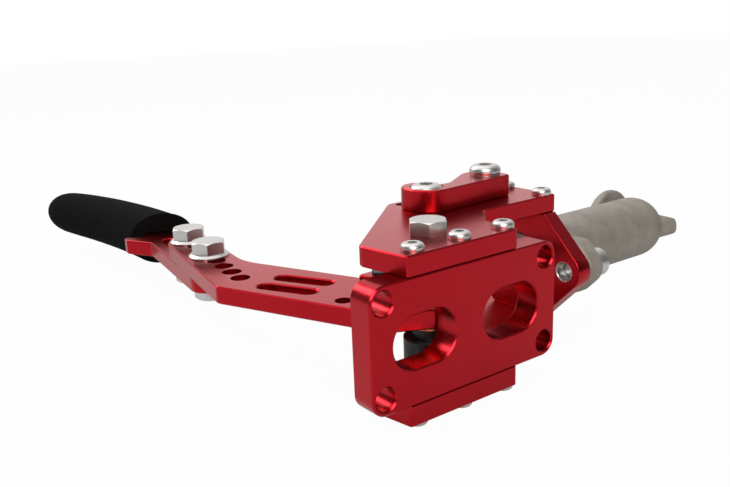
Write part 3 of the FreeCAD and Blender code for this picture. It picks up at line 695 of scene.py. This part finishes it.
# %% The flange plate
ROD_LINE_Y = 57.0
CYLINDER_SCREWS = (-34.0, 34.0)
SPIGOT_HOLE = 16.1
TAPPED_HOLE = 5.0
FLANGE_CORNERS = [(-18.99, -30.0, 2), (18.99, -30.0, 2), (48.99, 0, 10.6),
                  (18.99, 30.0, 2), (-18.99, 30.0, 2), (-48.99, 0, 10.6)]


def on_rod_line(start):
    """A place function for outlines that stand square to the push rod."""
    return lambda x, y, height: ((start + height) * MM, (ROD_LINE_Y + x) * MM, y * MM)


def flange_plate():
    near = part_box("flange_plate")[0][0] / MM
    loops = [rounded_outline(FLANGE_CORNERS), round_hole(0, 0, SPIGOT_HOLE)]
    loops += [round_hole(x, 0, TAPPED_HOLE) for x in CYLINDER_SCREWS]
    piece = milled_plate("tapped_flange_plate", loops, PLATE_THICKNESS, PLATE_EDGE,
                         on_rod_line(near), bare=(2, 3))
    dress(piece, red_plate_finish, "bracket", "flange_plate")
    piece.data.materials.append(piston_finish)


flange_plate()

# %% [markdown]
# The grip bar under the lever has a slot of its own, seen in the photograph as a dark sliver
# below the lever's knee. The outline takes in the finger guard and the handle inside the foam.

# %% The grip bar
GRIP_CORNERS = [(-58.91, 168.37, 12.8), (-32.79, 164.56, 12.8), (-17.75, 267.67, 14),
                (-15.96, 291.54, 14), (-18.61, 352.22, 60.0), (-35.54, 439.34, 9.6),
                (-55.18, 435.52, 9.6), (-38.53, 349.87, 60.0), (-35.94, 290.67, 3),
                (-52.98, 299.09, 1.5), (-54.14, 291.17, 1.5), (-43.87, 271.48, 6)]
GRIP_BOLTS = [(-43.95, 179.53), (-38.06, 219.90)]
GRIP_BOLT_HOLE = 5.5
GRIP_SLOT_CORNERS = [(-39.5, 240.9, 4.4), (-36.0, 274.9, 4.4), (-25.1, 273.3, 4.4), (-30.6, 239.7, 4.4)]


def grip_bar():
    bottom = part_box("grip_bar")[0][2] / MM
    loops = [rounded_outline(GRIP_CORNERS)]
    loops += [round_hole(x, y, GRIP_BOLT_HOLE) for x, y in GRIP_BOLTS]
    loops.append(rounded_outline(GRIP_SLOT_CORNERS))
    piece = milled_plate("slotted_grip_bar", loops, PLATE_THICKNESS, PLATE_EDGE, lying_at(bottom))
    dress(piece, red_lever_finish, "lever", "grip_bar")


grip_bar()

# %% [markdown]
# Turned pieces come from a lathe in the workshop and from a profile here: pairs of a distance
# along the axis and a radius. The rings are joined like any other tube. Edges steeper than a
# soft curve are marked sharp, so that shoulders look cut and not melted.

# %% A lathe
LATHE_SIDES = 96
SHOULDER = math.radians(32)


def turned_rings(start, direction, profile, shape=None):
    """Rings for a profile of (distance, radius); shape may bend a ring out of round."""
    side = direction.orthogonal().normalized()
    other = direction.cross(side)
    rings = []
    for along, radius in profile:
        ring = []
        for index in range(LATHE_SIDES):
            angle = 2 * math.pi * index / LATHE_SIDES
            out = radius * (shape(angle) if shape else 1.0)
            ring.append(Vector(start) + direction * along + side * (out * math.cos(angle))
                        + other * (out * math.sin(angle)))
        rings.append([point * MM for point in ring])
    return rings


def turned_piece(name, rings, ends=True):
    piece = skin_rings(name, rings, close_start=ends, close_end=ends, loop=not ends)
    piece.data.set_sharp_from_angle(angle=SHOULDER)
    return piece


def hexagon(angle):
    """How far a hexagon reaches at an angle, next to its flats."""
    return 1.0 / math.cos((angle + math.pi / 6) % (math.pi / 3) - math.pi / 6)


print("the lathe has", LATHE_SIDES, "sides")

# %% [markdown]
# The lower pivot spacer is the black drum seen through the left slot. It has a neck that fits
# beside the lever's bush, and a flat that keeps it off the base plate.

# %% The lower pivot spacer
SPACER_FLAT = 13.6
SPACER_CLEARANCE = 0.05


def lower_spacer():
    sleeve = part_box("pivot_sleeve")
    inner = (sleeve[1][0] - sleeve[0][0]) / 2 / MM + SPACER_CLEARANCE
    profile = [(6.4, inner), (6.4, 8.8), (11.0, 8.8), (11.0, 12.2), (11.8, 13.0),
               (29.5, 13.0), (30.0, 12.5), (30.0, inner)]
    rings = turned_rings((*PIVOT, 0), Vector((0, 0, -1)), profile)
    for ring in rings:
        for point in ring:
            point.y = max(point.y, SPACER_FLAT * MM)
    piece = turned_piece("drum_spacer", rings, ends=False)
    dress(piece, black_steel_finish, "bracket", "lower_pivot_spacer")


lower_spacer()

# %% [markdown]
# Two low cap screws and their washers hold the cylinder. The photograph shows the round heads
# from the side, and the open ends of the tapped holes on the other face of the flange plate. The
# last rings of a screw change from a circle to a hexagon, which makes the socket for the key.

# %% The cylinder's screws and washers
CASTING_FACE = 114.0
SCREW_TIP = 98.4
SOCKET = 3.5
WASHER = 1.6
WASHER_PROFILE = [(0, 5.3), (0, 8.8), (0.2, 9.0), (1.4, 9.0), (WASHER, 8.8), (WASHER, 5.3)]


def cylinder_screws():
    seat = CASTING_FACE + WASHER - SCREW_TIP
    shank = [(0.0, 3.9), (0.9, 4.9), (seat, 4.9), (seat, 7.8), (seat + 0.2, 8.0),
             (seat + 6.3, 8.0), (seat + 7.0, 7.3), (seat + 7.0, SOCKET * 1.25)]
    socket = [(seat + 6.9, SOCKET), (seat + 3.2, SOCKET), (seat + 2.2, 0.6)]
    for name, y in zip(("far_cap_screw", "near_cap_screw"), CYLINDER_SCREWS):
        start = (SCREW_TIP, ROD_LINE_Y + y, 0)
        along = Vector((1, 0, 0))
        rings = turned_rings(start, along, shank) + turned_rings(start, along, socket, hexagon)
        piece = turned_piece(name, rings)
        dress(piece, steel_finishes["cylinder_bolts"], "bracket", "cylinder_bolts")
        disc = turned_rings((CASTING_FACE, ROD_LINE_Y + y, 0), along, WASHER_PROFILE)
        washer = turned_piece(name + "_washer", disc, ends=False)
        finish = steel_finishes["cylinder_washers"]
        dress(washer, finish, "bracket", "cylinder_washers")


cylinder_screws()

# %% [markdown]
# The cylinder is one sand casting, so its flange, barrel, nose and inlet flow into each other
# with soft corners. Here they are built as separate closed shapes that overlap. A voxel remesh
# melts them into one skin, and a little smoothing rounds the inside corners as a mould would.

# %% The casting's rough shape
FLANGE_FACE = 102.4
BARREL_RADIUS = 19.4
BARREL_LENGTH = 97.0
BARREL_END = (FLANGE_FACE + BARREL_LENGTH, ROD_LINE_Y, 0)
SPIGOT_END = 92.4
NOSE_TURN = math.radians(39)
NOSE_WAY = Vector((math.cos(NOSE_TURN), -math.sin(NOSE_TURN), 0))
INLET_WAY = Vector((0, 1, 0))
CAST_FLANGE_CORNERS = [(-33.99, -15.0, 2), (33.99, -15.0, 2), (48.99, 0, 10.6),
                       (33.99, 15.0, 2), (-33.99, 15.0, 2), (-48.99, 0, 10.6)]


def dome(start, radius, steps=16):
    """Profile of a half ball at the end of a bar."""
    return [(start + radius * math.sin(math.pi / 2 * step / steps),
             radius * math.cos(math.pi / 2 * step / steps)) for step in range(steps)]


def inlet_x():
    """Where the record puts the fluid inlet along the barrel, in millimetres."""
    for mount in frame["record"]["mounts"]:
        if mount["name"] == "fluid_inlet":
            return mount["pos_m"][0] / MM


def casting_shapes():
    along = Vector((1, 0, 0))
    barrel = [(0.5, BARREL_RADIUS), (11.6, 20.6), (18.6, BARREL_RADIUS)]
    barrel += dome(BARREL_LENGTH, BARREL_RADIUS)
    spigot = [(0, 15.4), (0.6, 16.0), (12, 16.0)]
    nose = [(2.0, 10.3), (20.0, 7.2), (27.7, 5.2), (28.5, 4.9), (28.9, 4.2)]
    disc = [(5.0, 12.5), (19.5, 12.5), (19.5, 19.1), (20.9, 20.5), (24.0, 20.5), (25.5, 19.1)]
    flange = [rounded_outline(CAST_FLANGE_CORNERS)]
    return [
        milled_plate("flange", flange, 11.6, 1.5, on_rod_line(FLANGE_FACE)),
        turned_piece("barrel", turned_rings((FLANGE_FACE, ROD_LINE_Y, 0), along, barrel)),
        turned_piece("spigot", turned_rings((SPIGOT_END, ROD_LINE_Y, 0), along, spigot)),
        turned_piece("nose", turned_rings(BARREL_END, NOSE_WAY, nose)),
        turned_piece("inlet", turned_rings((inlet_x(), ROD_LINE_Y, 0), INLET_WAY, disc)),
    ]


def melted(parts, name, voxel, rounds):
    """Join closed shapes, remesh them into one skin and smooth it."""
    mesh = bmesh.new()
    for part in parts:
        mesh.from_mesh(part.data)
        bpy.data.objects.remove(part)
    piece = new_piece(name, mesh)
    remesh = piece.modifiers.new("remesh", "REMESH")
    remesh.mode = "VOXEL"
    remesh.voxel_size = voxel
    remesh.use_smooth_shade = True
    smooth = piece.modifiers.new("smooth", "SMOOTH")
    smooth.factor = 0.5
    smooth.iterations = rounds
    return piece


casting = melted(casting_shapes(), "cast_cylinder_body", 0.8 * MM, 8)
print("the casting is one skin")

# %% [markdown]
# The bore and the two ports are machined into the finished casting, so they keep sharp edges.
# Boolean modifiers cut them, and the cut faces take the bare metal of their cutter.

# %% The casting's machined faces
BORE_START = 91.0
BORE = 9.53
RING_GROOVE = 10.53
MACHINED_EDGE = math.radians(40)


def cutter(name, start, direction, profile):
    piece = turned_piece(name, turned_rings(start, direction, profile))
    piece.data.materials.append(piston_finish)
    return piece


def machined_casting(casting):
    bore = [(0, BORE), (3.3, BORE), (3.3, RING_GROOVE), (4.8, RING_GROOVE), (4.8, BORE), (121.8, BORE)]
    inlet = [(8.0, 1.5), (14.0, 1.5), (14.0, 7.0), (24.0, 7.0), (24.0, 12.0), (27.0, 12.0)]
    outlet = [(6.0, 1.5), (18.9, 1.5), (18.9, 3.5), (30.0, 3.5)]
    cutters = [
        cutter("bore", (BORE_START, ROD_LINE_Y, 0), Vector((1, 0, 0)), bore),
        cutter("inlet_port", (inlet_x(), ROD_LINE_Y, 0), INLET_WAY, inlet),
        cutter("outlet_port", BARREL_END, NOSE_WAY, outlet),
    ]
    casting.data.materials.append(cast_finish)
    for tool in cutters:
        cut = casting.modifiers.new("cut", "BOOLEAN")
        cut.operation = "DIFFERENCE"
        cut.solver = "EXACT"
        cut.material_mode = "TRANSFER"
        cut.object = tool
    finished = casting.evaluated_get(bpy.context.evaluated_depsgraph_get())
    shape = bpy.data.meshes.new_from_object(finished)
    casting.modifiers.clear()
    casting.data = shape
    for tool in cutters:
        bpy.data.objects.remove(tool)
    shape.set_sharp_from_angle(angle=MACHINED_EDGE)
    print("the casting has", len(shape.polygons), "faces and", len(shape.materials), "finishes")


machined_casting(casting)
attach(casting, "bracket")
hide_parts("master_cylinder")

# %% [markdown]
# The foam grip is a thick sleeve pushed over the flat handle. It follows the handle's bow,
# swells slightly at its open mouth and closes in a round end. Its mouth is cut at a slant, to
# clear the finger guard. The centre line is an arc through three points. The rings slant like
# the mouth at first and turn square to that line towards the end. The mouth is a real edge: the
# skin rolls over a lip and runs in to the handle, so that the foam's thickness can be seen.

# %% The foam grip's own measures
FOAM_MOUTH = Vector((-25.95, 284.10, -10.0)) * MM
FOAM_LENGTH = 181.0 * MM
FOAM_LEAN = math.radians(8.7)
FOAM_BOW = 7.2 * MM
FOAM_RADIUS_MOUTH = 20.0 * MM
MOUTH_NORMAL = Vector((0.4555, 0.8567, 0.2419))
MOUTH_SETBACK = 13.0 * MM
HANDLE_LEAN = math.radians(2.5)
HANDLE_DEPTH = 20.0 * MM
LIP = 0.3 * MM
HANDLE_HALF_WIDTH = 10.3 * MM
HANDLE_HALF_DEPTH = 5.3 * MM
FOAM_SIDES = 72
FOAM_RINGS = 84


def arc_through(start, middle, end):
    """A function from 0..1 to the place and direction on the arc through three points."""
    chord = end - start
    half = chord.length / 2
    rise = (middle - (start + end) / 2).length
    radius = (half * half + rise * rise) / (2 * rise)
    outward = (middle - (start + end) / 2).normalized()
    centre = middle - outward * radius
    sweep = math.asin(min(1.0, half / radius))
    forward = chord.normalized()

    def at(share):
        angle = (2 * share - 1) * sweep
        place = centre + outward * (radius * math.cos(angle)) + forward * (radius * math.sin(angle))
        direction = forward * math.cos(angle) - outward * math.sin(angle)
        return place, direction

    return at


def foam_line():
    lean = Vector((-math.sin(FOAM_LEAN), math.cos(FOAM_LEAN), 0))
    across = Vector((math.cos(FOAM_LEAN), math.sin(FOAM_LEAN), 0))
    end = FOAM_MOUTH + lean * FOAM_LENGTH
    return arc_through(FOAM_MOUTH, (FOAM_MOUTH + end) / 2 + across * FOAM_BOW, end)


print("the foam runs", round(FOAM_LENGTH / MM), "mm and bows", round(FOAM_BOW / MM, 1), "mm")

# %% [markdown]
# The sleeve's radius comes from a short list of shares of its length, with a smooth curve
# between them. A plain straight line between the stops would show as bands in the shading.

# %% The foam grip
FOAM_STOPS = [(-0.06, 1.03), (0.0, 1.025), (0.04, 0.99), (0.3, 0.96), (0.6, 0.92),
              (0.84, 0.86), (0.91, 0.775), (0.96, 0.60), (0.985, 0.40), (1.0, 0.05)]


def smooth_stops(stops, share):
    """Read a value from (place, value) stops with a rounded curve through them."""
    for index in range(len(stops) - 1):
        if share <= stops[index + 1][0] or index == len(stops) - 2:
            break
    before = stops[max(index - 1, 0)]
    start, end = stops[index], stops[index + 1]
    after = stops[min(index + 2, len(stops) - 1)]
    width = end[0] - start[0]
    amount = min(max((share - start[0]) / width, 0.0), 1.0)
    slope_in = (end[1] - before[1]) / (end[0] - before[0]) * width
    slope_out = (after[1] - start[1]) / (after[0] - start[0]) * width
    square, cube = amount ** 2, amount ** 3
    return ((2 * cube - 3 * square + 1) * start[1] + (cube - 2 * square + amount) * slope_in
            + (3 * square - 2 * cube) * end[1] + (cube - square) * slope_out)


def foam_point(line, share, angle):
    """A point of the outer skin, at a share of the centre line and an angle round it."""
    place, direction = line(share)
    side = direction.cross(Vector((0, 0, 1))).normalized()
    radius = FOAM_RADIUS_MOUTH * smooth_stops(FOAM_STOPS, share)
    return place + side * (radius * math.cos(angle)) + Vector((0, 0, radius * math.sin(angle)))


def foam_ring(line, starts, amount):
    """One ring of the outer skin; each point has its own start, so the mouth can slant."""
    ring = []
    for index, start in enumerate(starts):
        angle = 2 * math.pi * index / FOAM_SIDES
        ring.append(foam_point(line, start + (1.0 - start) * amount, angle))
    return ring


def mouth_starts(line):
    """For each point around, the share of the line where the slanted mouth cuts the skin."""
    along_handle = Vector((math.sin(-HANDLE_LEAN), math.cos(-HANDLE_LEAN), 0))
    corner = FOAM_MOUTH + along_handle * MOUTH_SETBACK
    starts = []
    for index in range(FOAM_SIDES):
        angle = 2 * math.pi * index / FOAM_SIDES
        low_share, high_share = -0.15, 0.35
        for _ in range(28):
            share = (low_share + high_share) / 2
            if (foam_point(line, share, angle) - corner).dot(MOUTH_NORMAL) < 0:
                low_share = share
            else:
                high_share = share
        starts.append(share)
    return starts


def handle_ring(ring, depth):
    """The rectangular opening round the handle, one point for each point of the skin's ring."""
    points = []
    centre = sum(ring, Vector()) / len(ring)
    side = Vector((math.cos(HANDLE_LEAN), math.sin(HANDLE_LEAN), 0))
    along = Vector((-side.y, side.x, 0))
    for index in range(FOAM_SIDES):
        angle = 2 * math.pi * index / FOAM_SIDES
        wide, deep = math.cos(angle), math.sin(angle)
        grow = 1.0 / max(abs(wide) / HANDLE_HALF_WIDTH, abs(deep) / HANDLE_HALF_DEPTH)
        offset = side * (wide * grow) + Vector((0, 0, deep * grow))
        shift = -(offset.dot(MOUTH_NORMAL)) / MOUTH_NORMAL.dot(along)
        points.append(centre + offset + along * (shift + depth))
    return points


def foam_grip():
    line = foam_line()
    starts = mouth_starts(line)
    outer = [foam_ring(line, starts, step / FOAM_RINGS) for step in range(FOAM_RINGS + 1)]
    mouth = outer[0]
    inner = handle_ring(mouth, 0.0)
    deep = handle_ring(mouth, HANDLE_DEPTH)
    face = [[point.lerp(target, share) for point, target in zip(mouth, inner)]
            for share in (0.93, 0.6, 0.3, 0.08)]
    lip = [point + (target - point).normalized() * LIP for point, target in zip(mouth, face[-1])]
    rings = [deep, inner] + face + [lip] + outer
    piece = skin_rings("foam_grip_sleeve", rings, close_end=True)
    dress(piece, foam_finish, "lever", "foam_grip")


foam_grip()

# %% [markdown]
# The push rod is cut with a thread, so that the fork can be screwed along it. A thread is one
# groove that climbs round the rod. Here every ring of points is one small step along the rod,
# and a point's radius depends on its angle and its place together, which makes the climb.

# %% The threaded push rod
ROD_Y = ROD_LINE_Y * MM
ROD_RADIUS = 3.93 * MM
THREAD_PITCH = 1.25 * MM
THREAD_DEPTH = 0.62 * MM
THREAD_LENGTH = 50.0 * MM
THREAD_RUNOUT = 2.0 * MM
ROD_SIDES = 40


def thread_radius(place, angle, fade):
    """Radius of the thread at a place along the rod and an angle round it."""
    phase = (place / THREAD_PITCH - angle / (2 * math.pi)) % 1.0
    valley = max(0.0, 1.0 - abs(phase - 0.5) * 2.6)
    return ROD_RADIUS - THREAD_DEPTH * valley * fade


def rod_ring(x, radius_at, sides=ROD_SIDES):
    """A ring round the rod's line; its radius may depend on the angle."""
    ring = []
    for index in range(sides):
        angle = 2 * math.pi * index / sides
        radius = radius_at(angle)
        ring.append((x, ROD_Y + radius * math.cos(angle), radius * math.sin(angle)))
    return ring


def reach_x(node):
    """Where a CAD piece starts and ends along X."""
    low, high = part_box(node)
    return low[0], high[0]


def push_rod():
    low, high = [Vector(corner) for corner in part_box("push_rod")]
    thread_end = low.x + THREAD_LENGTH
    rings = []
    steps = int((thread_end - low.x) / THREAD_PITCH * 8)
    for step in range(steps + 1):
        x = low.x + (thread_end - low.x) * step / steps
        fade = min(1.0, (x - low.x) / THREAD_RUNOUT, (thread_end - x) / THREAD_RUNOUT)
        rings.append(rod_ring(x, lambda angle: thread_radius(x, angle, fade)))
    collar = reach_x("retaining_washer")[1] + 0.2 * MM
    nose = high.x - ROD_RADIUS
    for x, radius in ((collar, 3.93), (collar, 6.6), (collar + 0.4 * MM, 7.0),
                      (collar + 2.6 * MM, 7.0), (collar + 3.0 * MM, 6.6), (collar + 3.0 * MM, 3.93)):
        rings.append(rod_ring(x, lambda angle: radius * MM))
    for step in range(9):
        bend = math.pi / 2 * step / 8.3
        x = nose + ROD_RADIUS * math.sin(bend)
        rings.append(rod_ring(x, lambda angle: ROD_RADIUS * math.cos(bend)))
    piece = skin_rings("threaded_push_rod", rings, close_start=True, close_end=True)
    dress(piece, steel_finishes["push_rod"], "push_rod_line", "push_rod")


push_rod()

# %% [markdown]
# The dust boot is a rubber bellows. It is moulded, so its folds are round and not sharp.
# The profile is a wave that comes closer to the rod fold by fold, turned round the rod's axis,
# with an inner skin a millimetre below it.

# %% The dust boot
BOOT_FOLDS = 4
BOOT_SIDES = 64
BOOT_STEPS = 110
BOOT_WALL = 1.0
BOOT_INNER = 4.12
CUFF_SHARE = 0.07
NECK_SHARE = 0.82


def boot_radius(share):
    """Outer radius in millimetres, from the cylinder end at 0 to the rod end at 1."""
    if share < CUFF_SHARE:
        return 13.0
    if share > NECK_SHARE:
        return 5.25 + 0.5 * math.cos((share - NECK_SHARE) / (1 - NECK_SHARE) * math.pi * 2)
    along = (share - CUFF_SHARE) / (NECK_SHARE - CUFF_SHARE)
    mean = 12.2 - 5.6 * along
    return mean + 1.7 * math.cos(2 * math.pi * (BOOT_FOLDS * along - 0.5))


def shorten_with_rod(piece, near, far):
    """Read the rod's travel and give the piece a mesh of its own."""
    joint = next(joint for joint in frame["joints"] if joint["name"] == "push_rod_slide")
    travel = joint["range_m"][1]
    1.0 - travel / (far - near)
    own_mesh(piece)


def dust_boot():
    near, far = reach_x("dust_boot")
    outward = [(step / BOOT_STEPS, 0.0) for step in range(BOOT_STEPS + 1)]
    inward = [(share, BOOT_WALL) for share, _ in reversed(outward)]
    rings = []
    for share, depth in outward + inward:
        radius = max(boot_radius(share) - depth, BOOT_INNER) * MM
        rings.append(rod_ring(far - (far - near) * share, lambda angle: radius, BOOT_SIDES))
    piece = skin_rings("bellows_boot", rings, loop=True)
    dress(piece, rubber_finish, "bracket", "dust_boot")
    shorten_with_rod(piece, near, far)


dust_boot()

# %% [markdown]
# The return spring sits unseen in the bore. Its wire
# follows a helix with a closed turn at each end.

# %% The return spring
SPRING_RADIUS = 6.0 * MM
SPRING_WIRE = 0.8 * MM
SPRING_TURNS = 9
TURN_STEPS = 36
WIRE_SIDES = 12


def spring_ring(centre, out, side):
    ring = []
    for index in range(WIRE_SIDES):
        angle = 2 * math.pi * index / WIRE_SIDES
        ring.append(centre + out * (SPRING_WIRE * math.cos(angle)) + side * (SPRING_WIRE * math.sin(angle)))
    return ring


def return_spring():
    near, far = reach_x("return_spring")
    start, end = near + SPRING_WIRE, far - SPRING_WIRE
    rings = []
    steps = SPRING_TURNS * TURN_STEPS
    for step in range(steps + 1):
        share = step / steps
        angle = 2 * math.pi * SPRING_TURNS * share
        eased = min(max((share * SPRING_TURNS - 1) / (SPRING_TURNS - 2), 0.0), 1.0)
        x = start + (end - start) * (0.04 * share + 0.96 * eased)
        out = Vector((0, math.cos(angle), math.sin(angle)))
        centre = Vector((x, ROD_Y, 0)) + out * SPRING_RADIUS
        rings.append(spring_ring(centre, out, Vector((1, 0, 0))))
    piece = skin_rings("coil_return_spring", rings, close_start=True, close_end=True)
    dress(piece, spring_finish, "bracket", "return_spring")
    shorten_with_rod(piece, near, far)


return_spring()

# %% [markdown]
# The picture was taken on pure white. A floor that only the lamps light would turn grey, so this
# one glows for the camera, and a small share of its own shading keeps a faint shadow. Light Path
# tells the camera's rays from the others. Reflections get a weaker glow, because a bright floor
# would fill the undersides of the plates with pink.

# %% The floor
GLOW_SEEN = 0.97
GLOW_MIRRORED = 0.15
FLOOR_GREY = (0.55, 0.55, 0.55, 1.0)


def floor_finish():
    finish = Finish("white_floor")
    finish.surface(Base_Color=FLOOR_GREY, Roughness=0.9)
    rays = finish.outputs("ShaderNodeLightPath")
    direct = rays["Is Camera Ray"] + rays["Is Transmission Ray"]
    share = direct * GLOW_SEEN + rays["Is Glossy Ray"] * GLOW_MIRRORED
    glow = finish.node("ShaderNodeEmission", {}, {"Color": (1, 1, 1, 1), "Strength": 1.0})
    shaded = Socket(finish, finish.shader.outputs[0])
    mixed = finish.node("ShaderNodeMixShader", {}, {0: share, 1: shaded, 2: glow})
    finish.connect(finish.out.inputs[0], mixed)
    return finish.material


def floor():
    lowest = cad_box[0][2]
    mesh = bmesh.new()
    bmesh.ops.create_grid(mesh, x_segments=8, y_segments=8, size=6.0,
                          matrix=Matrix.Translation((0, 0, lowest)))
    piece = new_piece("floor", mesh)
    piece.data.materials.append(floor_finish())
    print("floor at", round(lowest / MM, 1), "mm")


floor()

# %% [markdown]
# The handbrake lies in front of a white backdrop, and the room behind the camera is dim. The
# camera always sees plain white. A reflection sees the same white behind the object, and it falls
# off towards the camera's side, so that the red faces keep their depth. The rest of the world's
# light falls off in the same way. A ray's direction comes from the Generated coordinates.

# %% The world
TENT_BRIGHT = 1.3
TENT_DIM = 0.03
TENT_FALLOFF = 3.5
COOL_WHITE = (0.97, 0.98, 1.0, 1.0)
PLAIN_WHITE = (1.0, 1.0, 1.0, 1.0)


def world():
    made = bpy.data.worlds.new("light_tent")
    made.use_nodes = True
    tent = NodeTree(made.node_tree)
    output = tent.tree.nodes.new("ShaderNodeOutputWorld")
    ray = tent.outputs("ShaderNodeSeparateXYZ", {0: tent.node("ShaderNodeTexCoord")})
    rays = tent.outputs("ShaderNodeLightPath")
    mirrored = rays["Is Glossy Ray"]
    behind = (ray["X"] * 0.50 + ray["Y"] * 0.75 + ray["Z"] * 0.43) * 0.5 + 0.5
    backdrop = behind ** TENT_FALLOFF
    room = backdrop * (1.0 - mirrored) * (TENT_BRIGHT - TENT_DIM) + TENT_DIM
    lit = tent.node("ShaderNodeBackground", {}, {"Color": COOL_WHITE, "Strength": room})
    white = tent.node("ShaderNodeBackground", {}, {"Color": PLAIN_WHITE, "Strength": 1.0})
    share = rays["Is Camera Ray"] + rays["Is Transmission Ray"] + mirrored * backdrop
    mixed = tent.node("ShaderNodeMixShader", {}, {0: share, 1: lit, 2: white})
    tent.connect(output.inputs[0], mixed)
    bpy.context.scene.world = made
    print("world runs from", TENT_DIM, "to", TENT_BRIGHT)


world()

# %% [markdown]
# Large area lamps make soft edges. Each lamp is placed, aimed at the bracket and sized in one
# call, and its power is set for its size and distance.

# %% The lamps
LAMP_AIM = Vector((0.0, 0.10, 0.0))


def lamp(name, place, width, height, power, colour=(1, 1, 1)):
    light = bpy.data.lights.new(name, "AREA")
    light.shape = "RECTANGLE"
    light.size = width
    light.size_y = height
    light.energy = power
    light.color = colour
    holder = bpy.data.objects.new(name, light)
    holder.location = place
    holder.rotation_euler = (LAMP_AIM - Vector(place)).to_track_quat("-Z", "Y").to_euler()
    bpy.context.scene.collection.objects.link(holder)
    print(name, "at", place, "with", power, "W")


lamp("key_lamp", (-0.7, -1.0, 0.9), 1.0, 1.0, 21.0, (1.0, 0.99, 0.97))
lamp("top_lamp", (-0.1, 0.3, 1.3), 1.6, 1.6, 9.0)
lamp("back_lamp", (-0.4, 1.1, 0.8), 0.5, 0.5, 5.0, (0.98, 0.99, 1.0))

# %% [markdown]
# The camera stands where the photographer's did: low, close and to the left, looking along the
# base plate towards the grip. Its place, its aim and its slight roll were worked out from edges
# of known length in the photo. The lens follows from the frame's width of 730 points.

# %% The camera
CAMERA_PLACE = Vector((-244.157, -253.638, 135.285)) * MM
CAMERA_AIM = Vector((0.56974, 0.77899, -0.26186))
CAMERA_UP = Vector((0.18786, 0.18675, 0.96428))
FRAME_WIDTH = 730
FOCAL_POINTS = 805.96
SENSOR = 36.0


def camera():
    data = bpy.data.cameras.new("photo_camera")
    data.sensor_fit = "HORIZONTAL"
    data.sensor_width = SENSOR
    data.lens = SENSOR * FOCAL_POINTS / FRAME_WIDTH
    data.clip_start = 0.01
    holder = bpy.data.objects.new("photo_camera", data)
    back = -CAMERA_AIM.normalized()
    right = CAMERA_UP.cross(back).normalized()
    up = back.cross(right)
    turn = Matrix((right, up, back)).transposed().to_4x4()
    holder.matrix_world = Matrix.Translation(CAMERA_PLACE) @ turn
    bpy.context.scene.collection.objects.link(holder)
    bpy.context.scene.camera = holder
    print("lens", round(data.lens, 2), "mm")


camera()

# %% [markdown]
# Standard view keeps colours as they are written.

# %% Finish
bpy.context.scene.view_settings.view_transform = "Standard"
